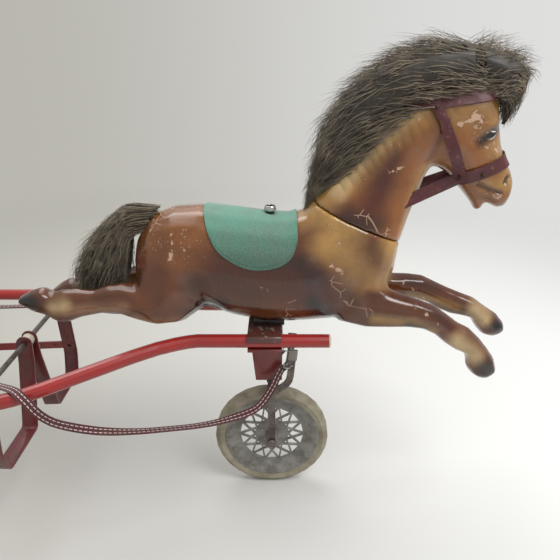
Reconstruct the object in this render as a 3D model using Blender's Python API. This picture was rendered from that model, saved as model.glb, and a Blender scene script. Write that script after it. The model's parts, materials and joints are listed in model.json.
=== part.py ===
"""Pedal horse sulky: a child's two-shaft sulky with a moulded galloping horse over its steered front wheel.

Metres, +Z up, +X towards the horse's head, -Y the rider's right. Lengths along X are measured from the
front axle while the pieces are made, and the whole is then moved so that its origin lies on the ground
under the middle of its box. Every moving piece has its origin on its own joint's axis.
"""
import math
from bisect import bisect_right

import bmesh
import bpy
from mathutils import Matrix, Vector

# Clearances and sheet thicknesses
GAP = 0.0003
RUNNING = 0.0003
SHEET = 0.0020
STRIP = 0.0025

# Wheels
FRONT_WHEEL_D = 0.190
REAR_WHEEL_D = 0.270
TYRE_DEPTH = 0.0155
TYRE_HALF_WIDTH = 0.0125
WHEEL_SPOKES = 14
SPOKE_WIDTH = 0.0024
FRONT_HUB_DISC_R = 0.0266
REAR_HUB_DISC_R = 0.0378
FRONT_HUB_END_PLAY = 0.0008
REAR_HUB_HALF = 0.0165
WHEEL_WEB_HALF = 0.0022
RIM_DEPTH = 0.023
RIM_FLANGE_HALF = 0.0105
RIM_CHANNEL_HALF = 0.0085
RIM_CHANNEL_DEPTH = 0.0055
AXLE_D = 0.008
WHEELBASE = 0.770
WHEEL_CLEARANCE = 0.0065

# Shafts
SHAFT_D = 0.020
SHAFT_WALL = 0.0015
SHAFT_FRONT_Z = 0.3095
SHAFT_REAR_Z = 0.276
SHAFT_FRONT_SPACING = 0.124
SHAFT_REAR_SPACING = 0.350
SHAFT_FRONT_X = 0.0848
SHAFT_OVERHANG = 0.115
SHAFT_BEND_FRONT_X = -0.106
SHAFT_BEND_REAR_X = -0.400

# Steering
STEER_PIN_D = 0.010
PIN_COLLAR = 0.003
PIN_NUT_WALL = 0.004
PIN_NUT_HEIGHT = 0.008
FORK_WIDTH = 0.012
FORK_BELOW_AXLE = 0.010
FORK_INSIDE = 0.045
CROWN_ABOVE_TYRE = 0.0065
HEAD_BOTTOM_Z = 0.214
HEAD_REAR_X = -0.0330
HEAD_FRONT_X = 0.0180
HEAD_TAPER = 0.0085
HEAD_HALF_WIDTH = 0.0185
CLAMP_LIP_ABOVE = 0.0035
LOWER_PLATE_OVERHANG = 0.0075
LOWER_PLATE_LIP = 0.0035
CLAMP_BOLT_D = 0.005
CLAMP_BOLT_X = -0.006
CLAMP_BOLT_CLEARANCE = 0.0025
BOLT_HEAD_R = 0.0050
BOLT_HEAD_HEIGHT = 0.0036
BOLT_NUT_R = 0.0045
BOLT_NUT_HEIGHT = 0.0040
AXLE_HEAD_R = 0.0075
AXLE_HEAD_LENGTH = 0.0048

# Steering arm: places ahead of the pin and above the fork's crown
ARM_FOOT = (0.0, -0.0285)
ARM_KNEE = (0.0, -0.0015)
ARM_ELBOW = (0.029, 0.0175)
ARM_TIP = (0.0345, 0.0755)
ARM_EYE = (0.0315, 0.048)
ARM_WIDTH = 0.011
SLEEVE_WALL = 0.0013
SLEEVE_LENGTH = 0.016
RING_R = 0.0062
RING_WIRE_R = 0.0011

# Pedals and drive
PEDAL_ROD_X = -0.388
PEDAL_ROD_Z = 0.275
PEDAL_DROP = 0.144
PEDAL_STRIP_WIDTH = 0.025
PEDAL_INNER_TOP = 0.010
PEDAL_INNER_FOOT = 0.030
PEDAL_OUTER_FOOT = 0.130
PEDAL_OUTER_TOP = 0.145
PEDAL_ARM_STRAIGHT = 0.105
PEDAL_RIVET_D = 0.006
LEVER = 0.090
CRANK_RADIUS = 0.033
CRANK_PIN_HALF = 0.0085
CRANK_END = 0.0265
ROD_NUT_R = 0.0080
ROD_NUT_LENGTH = 0.0060
ROD_HEIGHT = 0.014
ROD_THICK = 0.003
BRACKET_TOP_HALF = 0.026
BRACKET_EYE_R = 0.014
BUSH_R = 0.0075
BUSH_FLANGE = 0.003
BUSH_FLANGE_THICK = 0.0022

# Seat
SEAT_WIDTH = 0.250
SEAT_DEPTH = 0.215
SEAT_AHEAD_OF_AXLE = 0.115
SEAT_RIM = 0.020
SEAT_FLARE = 0.012
SEAT_FRONT_ROLL = 0.018
BEARER_HEIGHT = 0.014
BEARER_HALF_WIDTH = 0.012
FRONT_BEARER_INSET = 0.050
REAR_BEARER_INSET = 0.035
BACK_RAIL = 0.020
BACK_HEIGHT = 0.150
BACK_POST_WIDTH = 0.016
BACK_POST_INSET = 0.017
PANEL_ABOVE_RAIL = 0.040
PANEL_ABOVE_POSTS = 0.012
BACK_LEAN = 12.0
BACK_BOW = 1.6
BACK_CORNER = 0.030

# Horse
HORSE_DRAWN_SEAT_Z = 0.3221
POST_D = 0.012
POST_STUD_R = 0.0042
POST_ABOVE_BACK = 0.008
RING_NUT_R = 0.0090
BELLY_BLOCK_LENGTH = 0.045
BELLY_BLOCK_HALF_WIDTH = 0.036
BELLY_BLOCK_HEIGHT = 0.030
BELLY_BLOCK_X = -0.002
BELLY_FULLNESS = 3.0
CLOTH = 0.0020
STRAP = 0.0020

# Colours
RED = (0.42, 0.012, 0.014)
WORN_RED = (0.12, 0.030, 0.018)
STEEL = (0.22, 0.21, 0.20)
CHROME = (0.72, 0.72, 0.74)
CREAM = (0.75, 0.62, 0.45)
RUBBER = (0.50, 0.42, 0.28)
BLACK = (0.012, 0.011, 0.010)
GREY_SLEEVE = (0.36, 0.37, 0.34)
AMBER = (0.28, 0.095, 0.012)
FUR = (0.16, 0.125, 0.085)
TEAL = (0.045, 0.14, 0.115)
MAROON = (0.060, 0.010, 0.012)
PEDAL_RED = (0.10, 0.012, 0.014)

# Shared places
FRONT_AXLE_Z = FRONT_WHEEL_D / 2
REAR_AXLE_Z = REAR_WHEEL_D / 2
SHAFT_R = SHAFT_D / 2
PLATE_REAR_X = HEAD_REAR_X - 0.0005
PLATE_FRONT_X = HEAD_FRONT_X - 0.002
CLAMP_TOP_Z = SHAFT_FRONT_Z + SHAFT_R + GAP
CLAMP_LOW_Z = SHAFT_FRONT_Z - SHAFT_R - GAP
CLAMP_HALF = SHAFT_FRONT_SPACING / 2 + SHAFT_R + GAP
CROWN_Z = FRONT_WHEEL_D + CROWN_ABOVE_TYRE
HORSE_SEAT_Z = CLAMP_TOP_Z + SHEET + GAP
HORSE_LIFT = HORSE_SEAT_Z - HORSE_DRAWN_SEAT_Z
BRACKET_REACH = SHAFT_R + GAP + STRIP / 2
SHAFT_REAR_X = -WHEELBASE - SHAFT_OVERHANG
SEAT_FRONT_X = SEAT_AHEAD_OF_AXLE - WHEELBASE
SEAT_REAR_X = SEAT_FRONT_X - SEAT_DEPTH
BUSH_OUTER_Y = SHAFT_REAR_SPACING / 2 + BRACKET_REACH + STRIP / 2 + BUSH_FLANGE_THICK
REAR_TRACK = 2 * (BUSH_OUTER_Y + WHEEL_CLEARANCE + REAR_HUB_HALF)
ROD_Y = PEDAL_OUTER_TOP + STRIP / 2 + 2 * GAP + ROD_THICK / 2
SIDES = {"right": -1, "left": 1}


# General helpers

def clear_scene():
    for thing in list(bpy.data.objects):
        bpy.data.objects.remove(thing, do_unlink=True)


def paint(name, colour, roughness, metallic=0.0):
    """A material with the piece's plain colour, gloss and metal value."""
    found = bpy.data.materials.get(name)
    if found:
        return found
    made = bpy.data.materials.new(name)
    made.use_nodes = True
    shader = made.node_tree.nodes["Principled BSDF"]
    shader.inputs["Base Color"].default_value = (*colour, 1.0)
    shader.inputs["Roughness"].default_value = roughness
    shader.inputs["Metallic"].default_value = metallic
    return made


def place(name, bm, material, pivot=(0.0, 0.0, 0.0), parent=None, sharp=35.0):
    """Turn a bmesh, drawn in sulky coordinates, into a named object whose origin is at pivot."""
    bmesh.ops.translate(bm, verts=bm.verts, vec=-Vector(pivot))
    bmesh.ops.recalc_face_normals(bm, faces=bm.faces)
    mesh = bpy.data.meshes.new(name)
    bm.to_mesh(mesh)
    bm.free()
    mesh.materials.append(material)
    mesh.shade_smooth()
    mesh.set_sharp_from_angle(angle=math.radians(sharp))
    thing = bpy.data.objects.new(name, mesh)
    thing.location = pivot
    thing.parent = parent
    bpy.context.scene.collection.objects.link(thing)
    return thing


def combine(target, bm, operation, parent):
    """Cut, keep or add a shape with an exact Boolean; the shape stays as a wire guide."""
    guide = place(f"{target.name}_{operation.lower()}_{len(target.modifiers)}", bm, paint("guide", RED, 0.5),
                  parent=parent)
    guide.hide_render = True
    guide.display_type = "WIRE"
    step = target.modifiers.new(operation.title(), "BOOLEAN")
    step.operation = operation
    step.object = guide
    return guide


# Shape helpers

def circle_points(radius, sides, turn=0.0):
    return [(radius * math.cos(turn + math.tau * i / sides), radius * math.sin(turn + math.tau * i / sides))
            for i in range(sides)]


def rounded(points, radius, steps=3):
    """A polyline or outline whose inner corners are replaced by arcs, as a bent strip has."""
    out = [Vector(points[0])]
    for before, corner, after in zip(points, points[1:], points[2:]):
        corner = Vector(corner)
        a = Vector(before) - corner
        b = Vector(after) - corner
        reach = min(radius, a.length * 0.45, b.length * 0.45)
        start = corner + a.normalized() * reach
        end = corner + b.normalized() * reach
        for i in range(steps + 1):
            t = i / steps
            out.append(start.lerp(corner, t).lerp(corner.lerp(end, t), t))
    out.append(Vector(points[-1]))
    return out


def smooth_path(points, per_span):
    """Points on a Catmull-Rom curve through the given ones."""
    pts = [Vector(p) for p in points]
    pts = [2 * pts[0] - pts[1]] + pts + [2 * pts[-1] - pts[-2]]
    out = []
    for p0, p1, p2, p3 in zip(pts, pts[1:], pts[2:], pts[3:]):
        for i in range(per_span):
            t = i / per_span
            out.append(0.5 * (2 * p1 + (p2 - p0) * t + (2 * p0 - 5 * p1 + 4 * p2 - p3) * t * t
                              + (3 * p1 - p0 - 3 * p2 + p3) * t ** 3))
    out.append(pts[-2])
    return out


def loft(rings, closed=False, capped=True):
    """Skin a row of closed rings; closed joins the last ring to the first, else both ends may be capped."""
    bm = bmesh.new()
    loops = []
    for ring in rings:
        verts = [bm.verts.new(p) for p in ring]
        loops.append([bm.edges.new((verts[i - 1], verts[i])) for i in range(len(verts))])
    pairs = list(zip(loops, loops[1:]))
    if closed:
        pairs.append((loops[-1], loops[0]))
    for first, second in pairs:
        bmesh.ops.bridge_loops(bm, edges=first + second)
    if capped and not closed:
        bmesh.ops.contextual_create(bm, geom=loops[0])
        bmesh.ops.contextual_create(bm, geom=loops[-1])
    return bm


def prism(outline, axis, low, high):
    """Extrude a flat outline along one axis; its two numbers are the other axes, in X, Y, Z order."""
    def spot(a, b, depth):
        return {"X": (depth, a, b), "Y": (a, depth, b), "Z": (a, b, depth)}[axis]

    bm = bmesh.new()
    face = bm.faces.new([bm.verts.new(spot(p[0], p[1], low)) for p in outline])
    raised = bmesh.ops.extrude_face_region(bm, geom=[face])["geom"]
    shift = Vector(spot(0.0, 0.0, high - low))
    bmesh.ops.translate(bm, verts=[v for v in raised if isinstance(v, bmesh.types.BMVert)], vec=shift)
    return bm


def block(low, high):
    outline = [(low[0], low[1]), (high[0], low[1]), (high[0], high[1]), (low[0], high[1])]
    return prism(outline, "Z", low[2], high[2])


def thick_line(path, thickness):
    """The outline of a strip that follows a flat path, with mitred corners."""
    path = [Vector(p) for p in path]
    left, right = [], []
    for i, point in enumerate(path):
        before = (point - path[i - 1]).normalized() if i else (path[1] - point).normalized()
        after = (path[i + 1] - point).normalized() if i + 1 < len(path) else before
        along = (before + after).normalized()
        normal = Vector((-along.y, along.x))
        reach = thickness / 2 / max(0.3, normal.dot(Vector((-before.y, before.x))))
        left.append(point + normal * reach)
        right.append(point - normal * reach)
    return left + right[::-1]


def turned(profile, centre, axis="Y", segments=24, ring=False, turn=0.0):
    """Spin a profile of (radius, distance along the axis) about an axis through centre.

    A ring's profile is a closed loop clear of the axis; any other starts and ends on the axis.
    """
    bm = bmesh.new()
    verts = [bm.verts.new((along, radius * math.sin(turn), radius * math.cos(turn)))
             for radius, along in profile]
    edges = [bm.edges.new((a, b)) for a, b in zip(verts, verts[1:])]
    if ring:
        edges.append(bm.edges.new((verts[-1], verts[0])))
    bmesh.ops.spin(bm, geom=verts + edges, cent=(0, 0, 0), axis=(1, 0, 0), angle=math.tau, steps=segments,
                   use_merge=True, use_duplicate=False)
    bmesh.ops.remove_doubles(bm, verts=bm.verts, dist=1e-6)
    lay = {"X": Matrix.Identity(4), "Y": Matrix.Rotation(math.radians(90), 4, "Z"),
           "Z": Matrix.Rotation(math.radians(-90), 4, "Y")}[axis]
    bmesh.ops.transform(bm, matrix=Matrix.Translation(centre) @ lay, verts=bm.verts)
    return bm


def rod(radius, centre, axis, low, high, segments=16):
    """A plain round bar from low to high along its axis."""
    return turned([(0, low), (radius, low), (radius, high), (0, high)], centre, axis, segments)


def sweep(path, radius, sides=8, wall=None):
    """A round bar along a path, or a tube of the given wall with open ends."""
    path = [Vector(p) for p in path]
    frames = []
    up = Vector((0, 0, 1))
    for i, point in enumerate(path):
        along = (path[min(i + 1, len(path) - 1)] - path[max(i - 1, 0)]).normalized()
        if abs(along.dot(up)) > 0.95:
            up = Vector((1, 0, 0))
        side = along.cross(up).normalized()
        up = side.cross(along).normalized()
        frames.append((point, side, up.copy()))

    rings = [[p + s * a + u * b for a, b in circle_points(radius, sides)] for p, s, u in frames]
    bm = loft(rings, capped=wall is None)
    if wall is not None:
        bmesh.ops.recalc_face_normals(bm, faces=bm.faces)
        bmesh.ops.solidify(bm, geom=bm.faces[:], thickness=wall)
    return bm


def inset(corners, distance):
    """Move each side of a convex outline inwards."""
    corners = [Vector(c) for c in corners]
    centre = sum(corners, Vector((0, 0))) / len(corners)
    lines = []
    for a, b in zip(corners, corners[1:] + corners[:1]):
        along = (b - a).normalized()
        normal = Vector((-along.y, along.x))
        if normal.dot(centre - a) < 0:
            normal = -normal
        lines.append((a + normal * distance, along))
    out = []
    for (p, u), (q, w) in zip(lines[-1:] + lines[:-1], lines):
        cross = u.x * w.y - u.y * w.x
        t = ((q.x - p.x) * w.y - (q.y - p.y) * w.x) / cross
        out.append(p + u * t)
    return out


# Moulded horse: sections are (outer point, inner point, half width), points as (x, z)

TORSO = [
    ((-0.197, 0.428), (-0.199, 0.402), 0.016),
    ((-0.190, 0.455), (-0.194, 0.382), 0.038),
    ((-0.168, 0.484), (-0.174, 0.364), 0.056),
    ((-0.138, 0.495), (-0.142, 0.354), 0.064),
    ((-0.100, 0.497), (-0.100, 0.351), 0.066),
    ((-0.055, 0.492), (-0.055, 0.335), 0.064),
    ((-0.010, 0.486), (-0.012, 0.3245), 0.063),
    ((0.028, 0.483), (0.030, 0.3235), 0.063),
    ((0.050, 0.492), (0.088, 0.328), 0.063),
    ((0.062, 0.508), (0.140, 0.336), 0.060),
    ((0.074, 0.522), (0.172, 0.362), 0.056),
    ((0.086, 0.538), (0.182, 0.408), 0.050),
    ((0.098, 0.556), (0.187, 0.447), 0.044),
]
NECK = [
    ((0.112, 0.579), (0.198, 0.480), 0.039),
    ((0.130, 0.607), (0.208, 0.514), 0.036),
    ((0.155, 0.635), (0.216, 0.540), 0.035),
    ((0.187, 0.657), (0.223, 0.553), 0.036),
    ((0.223, 0.671), (0.231, 0.552), 0.038),
    ((0.262, 0.672), (0.239, 0.548), 0.039),
    ((0.292, 0.660), (0.247, 0.543), 0.038),
    ((0.304, 0.639), (0.255, 0.536), 0.036),
    ((0.308, 0.613), (0.263, 0.528), 0.033),
    ((0.314, 0.588), (0.272, 0.519), 0.029),
    ((0.323, 0.566), (0.281, 0.511), 0.026),
    ((0.334, 0.549), (0.291, 0.506), 0.024),
    ((0.340, 0.533), (0.300, 0.504), 0.024),
    ((0.339, 0.516), (0.308, 0.501), 0.022),
    ((0.334, 0.501), (0.320, 0.495), 0.014),
]
LOWER_JAW = [
    ((0.290, 0.535), (0.258, 0.532), 0.022),
    ((0.297, 0.515), (0.276, 0.512), 0.018),
    ((0.303, 0.501), (0.288, 0.498), 0.014),
    ((0.301, 0.492), (0.291, 0.491), 0.009),
]
EAR = [
    ((0.238, 0.648), (0.264, 0.646), 0.0100),
    ((0.239, 0.682), (0.259, 0.681), 0.0095),
    ((0.2365, 0.700), (0.2465, 0.701), 0.0040),
]
PARTING = [((0.233, 0.726), (0.243, 0.727), 0.0040)]
EAR_Y = 0.022
HIND_LEG = [
    ((-0.176, 0.452), (-0.085, 0.402), 0.030, 0.032),
    ((-0.192, 0.412), (-0.093, 0.356), 0.036, 0.033),
    ((-0.194, 0.394), (-0.126, 0.333), 0.042, 0.030),
    ((-0.201, 0.395), (-0.160, 0.330), 0.046, 0.027),
    ((-0.214, 0.396), (-0.190, 0.338), 0.048, 0.022),
    ((-0.234, 0.393), (-0.217, 0.349), 0.049, 0.018),
    ((-0.252, 0.386), (-0.240, 0.350), 0.050, 0.015),
    ((-0.276, 0.388), (-0.273, 0.343), 0.050, 0.016),
    ((-0.298, 0.387), (-0.292, 0.335), 0.050, 0.018),
    ((-0.312, 0.382), (-0.307, 0.336), 0.050, 0.018),
    ((-0.325, 0.391), (-0.322, 0.347), 0.050, 0.019),
    ((-0.341, 0.386), (-0.339, 0.353), 0.050, 0.017),
    ((-0.362, 0.374), (-0.360, 0.366), 0.050, 0.010),
]
FRONT_LEG_START = [
    ((0.152, 0.432), (0.082, 0.352), 0.028, 0.030),
    ((0.158, 0.398), (0.100, 0.330), 0.036, 0.028),
    ((0.174, 0.384), (0.136, 0.323), 0.041, 0.025),
]
NEAR_FRONT_LEG = FRONT_LEG_START + [
    ((0.192, 0.377), (0.170, 0.324), 0.044, 0.022),
    ((0.216, 0.369), (0.200, 0.325), 0.045, 0.020),
    ((0.240, 0.359), (0.223, 0.322), 0.045, 0.019),
    ((0.258, 0.346), (0.243, 0.312), 0.045, 0.016),
    ((0.276, 0.332), (0.260, 0.297), 0.045, 0.015),
    ((0.294, 0.323), (0.276, 0.286), 0.045, 0.016),
    ((0.311, 0.306), (0.290, 0.281), 0.045, 0.018),
    ((0.325, 0.290), (0.293, 0.275), 0.045, 0.019),
    ((0.338, 0.272), (0.296, 0.258), 0.045, 0.020),
    ((0.344, 0.254), (0.304, 0.247), 0.045, 0.020),
    ((0.334, 0.243), (0.316, 0.241), 0.045, 0.014),
]
FAR_FRONT_LEG = FRONT_LEG_START + [
    ((0.192, 0.374), (0.170, 0.326), 0.044, 0.022),
    ((0.216, 0.373), (0.203, 0.330), 0.045, 0.020),
    ((0.241, 0.370), (0.227, 0.331), 0.045, 0.019),
    ((0.263, 0.359), (0.252, 0.322), 0.045, 0.016),
    ((0.282, 0.350), (0.270, 0.311), 0.045, 0.015),
    ((0.303, 0.341), (0.291, 0.302), 0.045, 0.016),
    ((0.328, 0.331), (0.311, 0.299), 0.045, 0.018),
    ((0.349, 0.315), (0.325, 0.296), 0.045, 0.019),
    ((0.369, 0.302), (0.335, 0.280), 0.045, 0.020),
    ((0.383, 0.286), (0.346, 0.267), 0.045, 0.020),
    ((0.386, 0.275), (0.362, 0.262), 0.045, 0.014),
]
HIP = Vector((-0.150, 0.390))
FAR_HIND_DROP = 9.0
MANE = [
    ((0.056, 0.522), (0.080, 0.512), 0.010),
    ((0.061, 0.556), (0.104, 0.528), 0.024),
    ((0.070, 0.601), (0.126, 0.556), 0.034),
    ((0.094, 0.641), (0.145, 0.582), 0.038),
    ((0.126, 0.676), (0.170, 0.607), 0.040),
    ((0.165, 0.700), (0.196, 0.627), 0.042),
    ((0.212, 0.715), (0.226, 0.642), 0.043),
    ((0.260, 0.717), (0.264, 0.650), 0.040),
]
FORELOCK = [
    ((0.268, 0.715), (0.271, 0.650), 0.032),
    ((0.297, 0.706), (0.296, 0.645), 0.034),
    ((0.324, 0.695), (0.306, 0.640), 0.030),
    ((0.340, 0.674), (0.310, 0.632), 0.024),
    ((0.333, 0.642), (0.312, 0.618), 0.019),
    ((0.324, 0.612), (0.312, 0.604), 0.010),
]
TAIL = [
    ((-0.156, 0.498), (-0.168, 0.464), 0.012),
    ((-0.206, 0.499), (-0.204, 0.452), 0.018),
    ((-0.240, 0.472), (-0.210, 0.420), 0.023),
    ((-0.268, 0.438), (-0.214, 0.395), 0.025),
    ((-0.287, 0.402), (-0.222, 0.376), 0.025),
    ((-0.290, 0.366), (-0.232, 0.354), 0.020),
    ((-0.272, 0.334), (-0.244, 0.334), 0.010),
]
BRIDLE_STRAPS = [
    ([(0.208, 0.640), (0.325, 0.655)], 0.015),
    ([(0.214, 0.641), (0.262, 0.544)], 0.014),
    ([(0.256, 0.538), (0.350, 0.576)], 0.018),
]
SADDLE_OUTLINE = [(-0.094, 0.530), (-0.093, 0.497), (-0.087, 0.476), (-0.076, 0.454), (-0.060, 0.438),
                  (-0.037, 0.425), (-0.014, 0.421), (0.011, 0.425), (0.030, 0.438), (0.040, 0.459),
                  (0.036, 0.480), (0.028, 0.530)]
SEAM_BACK = (0.046, 0.512)
SEAM_FRONT = (0.196, 0.444)
SKIN_SIDES = 16
LEG_SIDES = 8


def ring_points(outer, inner, y, half_width, sides, grow=0.0, under=2.25):
    """A full oval in the plane through the outer and inner points and Y; under squares its inner half."""
    outer = Vector((outer[0], outer[1]))
    inner = Vector((inner[0], inner[1]))
    middle = (outer + inner) / 2
    half = (outer - inner) / 2
    half *= (half.length + grow) / half.length
    points = []
    for i in range(sides):
        angle = math.tau * i / sides
        c, s = math.cos(angle), math.sin(angle)
        fullness = 2.25 if c > -0.01 else under
        c = math.copysign(abs(c) ** (2 / fullness), c)
        s = math.copysign(abs(s) ** (2 / fullness), s)
        spot = middle + half * c
        points.append((spot.x, y + (half_width + grow) * s, spot.y))
    return points


def moulded(sections, sides, grow=0.0, side=0, y=0.0):
    """Loft oval sections; a leg's sections carry their own distance from the middle."""
    rings = []
    for section in sections:
        middle = side * section[2] if len(section) == 4 else y
        rings.append(ring_points(section[0], section[1], middle, section[-1], sides, grow))
    return loft(rings)


def horse_skin(grow=0.0):
    """The whole trunk from rump to nose, with a flatter belly where it sits on its block."""
    rings = [ring_points(o, i, 0.0, w, SKIN_SIDES, grow, BELLY_FULLNESS) for o, i, w in TORSO]
    rings += [ring_points(o, i, 0.0, w, SKIN_SIDES, grow) for o, i, w in NECK]
    return loft(rings)


def dropped(sections, pivot, degrees):
    """Turn a leg's sections about the hip in side view."""
    turn = Matrix.Rotation(math.radians(degrees), 2)
    return [((pivot + turn @ (Vector(o) - pivot)), (pivot + turn @ (Vector(i) - pivot)), y, w)
            for o, i, y, w in sections]


def seam_block(above, gap):
    """A block that covers everything above, or below, the seam between body and neck."""
    back, front = Vector(SEAM_BACK), Vector(SEAM_FRONT)
    along = (front - back).normalized()
    up = Vector((-along.y, along.x))
    if above:
        start = back - along * 0.030 - up * gap / 2
        end = front + along * 0.030 - up * gap / 2
        outline = [start, end, end + Vector((0.250, 0.060)), end + Vector((0.250, 0.400)), start + up * 0.400]
    else:
        start = back - along * 0.500 + up * gap / 2
        end = front + along * 0.300 + up * gap / 2
        outline = [start, end, end - up * 0.600, start - up * 0.600]
    return prism(outline, "Y", -0.150, 0.150)


def horse_pieces(parent):
    amber = paint("horse_enamel", AMBER, 0.25)
    fur = paint("fur", FUR, 0.9)
    maroon = paint("bridle_leather", MAROON, 0.55)

    body = place("horse_body", horse_skin(), amber, parent=parent, sharp=50.0)
    combine(body, seam_block(True, GAP), "DIFFERENCE", parent)
    legs = {
        "hind_right": moulded(HIND_LEG, LEG_SIDES, side=-1),
        "hind_left": moulded(dropped(HIND_LEG, HIP, FAR_HIND_DROP), LEG_SIDES, side=1),
        "front_right": moulded(NEAR_FRONT_LEG, LEG_SIDES, side=-1),
        "front_left": moulded(FAR_FRONT_LEG, LEG_SIDES, side=1),
    }
    for leg in legs.values():
        combine(body, leg, "UNION", parent)
    bore = rod(POST_D / 2 + GAP, (0, 0, 0), "Z", CLAMP_LOW_Z, 0.560)
    combine(body, bore, "DIFFERENCE", parent)

    head = place("horse_neck_head", horse_skin(), amber, parent=parent, sharp=50.0)
    combine(head, seam_block(False, GAP), "DIFFERENCE", parent)
    combine(head, moulded(LOWER_JAW, LEG_SIDES), "UNION", parent)
    for side in SIDES.values():
        combine(head, moulded(EAR, 8, y=side * EAR_Y), "UNION", parent)

    mane = place("mane", moulded(MANE, 12), fur, parent=parent)
    forelock = place("forelock", moulded(FORELOCK, 10), fur, parent=parent)
    tail = place("tail", moulded(TAIL, 10), fur, parent=parent)
    for hair in (mane, forelock, tail):
        combine(hair, horse_skin(grow=2 * GAP), "DIFFERENCE", parent)
    for hair in (mane, forelock):
        around_straps = combine(hair, horse_skin(grow=STRAP + 4 * GAP), "DIFFERENCE", parent)
        trim_to_straps(around_straps, GAP, parent)
    for side in SIDES.values():
        combine(mane, moulded(EAR + PARTING, 8, grow=2 * GAP, y=side * EAR_Y), "DIFFERENCE", parent)

    cloth = place("saddle_cloth", horse_skin(grow=CLOTH + 2 * GAP), paint("saddle_cloth", TEAL, 0.8),
                  parent=parent)
    combine(cloth, prism(SADDLE_OUTLINE, "Y", -0.150, 0.150), "INTERSECT", parent)
    combine(cloth, horse_skin(grow=2 * GAP), "DIFFERENCE", parent)
    combine(cloth, rod(POST_D / 2 + GAP, (0, 0, 0), "Z", 0.400, 0.560), "DIFFERENCE", parent)

    bridle = place("bridle", horse_skin(grow=STRAP + 2 * GAP), maroon, parent=parent)
    trim_to_straps(bridle, 0.0, parent)
    combine(bridle, horse_skin(grow=2 * GAP), "DIFFERENCE", parent)
    combine(bridle, moulded(LOWER_JAW, LEG_SIDES, grow=2 * GAP), "DIFFERENCE", parent)
    for side in SIDES.values():
        combine(bridle, moulded(EAR, 8, grow=2 * GAP, y=side * EAR_Y), "DIFFERENCE", parent)


def trim_to_straps(target, margin, parent):
    """Keep what lies under the bridle's straps as they are seen from the side."""
    straps = [prism(thick_line(line, width + 2 * margin), "Y", -0.080, 0.080)
              for line, width in BRIDLE_STRAPS]
    guide = combine(target, straps[0], "INTERSECT", parent)
    for strap in straps[1:]:
        combine(guide, strap, "UNION", parent)


def horse_mounting(parent, horse):
    """The block under the belly, the post through the horse and the ring nut on its back."""
    black = paint("black_steel", BLACK, 0.5, 0.6)
    chrome = paint("chrome", CHROME, 0.12, 1.0)
    half = BELLY_BLOCK_LENGTH / 2
    wide = BELLY_BLOCK_HALF_WIDTH
    low_corner = (BELLY_BLOCK_X - half, -wide, HORSE_SEAT_Z)
    high_corner = (BELLY_BLOCK_X + half, wide, HORSE_SEAT_Z + BELLY_BLOCK_HEIGHT)
    blocky = place("belly_block", block(low_corner, high_corner), black, parent=parent)
    combine(blocky, horse_skin(grow=GAP), "DIFFERENCE", horse)
    post_r = POST_D / 2
    bore = rod(post_r + GAP, (0, 0, 0), "Z", HORSE_SEAT_Z - 0.010, HORSE_SEAT_Z + BELLY_BLOCK_HEIGHT + 0.010)
    combine(blocky, bore, "DIFFERENCE", parent)
    back_z = TORSO[6][0][1] + HORSE_LIFT
    post_top = back_z + POST_ABOVE_BACK
    socket = post_top - 0.018
    post = [(0, HORSE_SEAT_Z), (post_r, HORSE_SEAT_Z), (post_r, post_top), (POST_STUD_R, post_top),
            (POST_STUD_R, socket), (0, socket)]
    place("horse_post", turned(post, (0, 0, 0), "Z", 16), black, parent=parent)
    low = back_z + CLOTH + 3 * GAP + 0.0005
    inner = post_r + GAP
    nut = [(inner, low), (RING_NUT_R - 0.0002, low), (RING_NUT_R, low + 0.0025),
           (RING_NUT_R - 0.0012, low + 0.0063), (RING_NUT_R - 0.0022, low + 0.0073), (inner, low + 0.0069)]
    place("post_ring_nut", turned(nut, (0, 0, 0), "Z", 16, ring=True), chrome, parent=parent)


# Shafts, clamp and steering head

def shaft_line(side):
    """The shaft's centre line, from its front end to its rear end."""
    front = SHAFT_FRONT_SPACING / 2
    rear = SHAFT_REAR_SPACING / 2
    span = SHAFT_BEND_FRONT_X - SHAFT_BEND_REAR_X
    rise = SHAFT_FRONT_Z - SHAFT_REAR_Z
    bend = [(0.05, 0.020), (0.11, 0.060), (0.19, 0.130), (0.30, 0.260), (0.66, 0.750), (0.77, 0.890),
            (0.85, 0.955), (0.92, 0.990)]
    points = [(SHAFT_FRONT_X, front, SHAFT_FRONT_Z), (SHAFT_BEND_FRONT_X, front, SHAFT_FRONT_Z)]
    for along, out in bend:
        points.append((SHAFT_BEND_FRONT_X - span * along, front + (rear - front) * out,
                       SHAFT_FRONT_Z - rise * out))
    points += [(SHAFT_BEND_REAR_X, rear, SHAFT_REAR_Z), (SHAFT_REAR_X, rear, SHAFT_REAR_Z)]
    return [Vector((x, side * y, z)) for x, y, z in points]


def shafts(parent):
    red = paint("shaft_enamel", RED, 0.22)
    cream = paint("cream_plastic", CREAM, 0.45)
    plug_r = SHAFT_R - SHAFT_WALL - GAP
    for name, side in SIDES.items():
        tube = place(f"shaft_{name}", sweep(shaft_line(side), SHAFT_R, 12, SHAFT_WALL), red, parent=parent)
        hole = rod(AXLE_D / 2 + GAP, (PEDAL_ROD_X, 0, PEDAL_ROD_Z), "Y", side * 0.130, side * 0.220, 12)
        combine(tube, hole, "DIFFERENCE", parent)
        ends = {"front": (SHAFT_FRONT_X, 1, SHAFT_FRONT_SPACING / 2, SHAFT_FRONT_Z),
                "rear": (SHAFT_REAR_X, -1, SHAFT_REAR_SPACING / 2, SHAFT_REAR_Z)}
        for end, (x, way, y, z) in ends.items():
            cap = [(0, -0.014), (plug_r, -0.014), (plug_r, GAP), (SHAFT_R, GAP), (SHAFT_R, 0.0020),
                   (SHAFT_R * 0.75, 0.0036), (0, 0.0042)]
            profile = [(r, way * a) for r, a in cap]
            place(f"shaft_cap_{end}_{name}", turned(profile, (x, side * y, z), "X", 12), cream, parent=parent)


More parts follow.
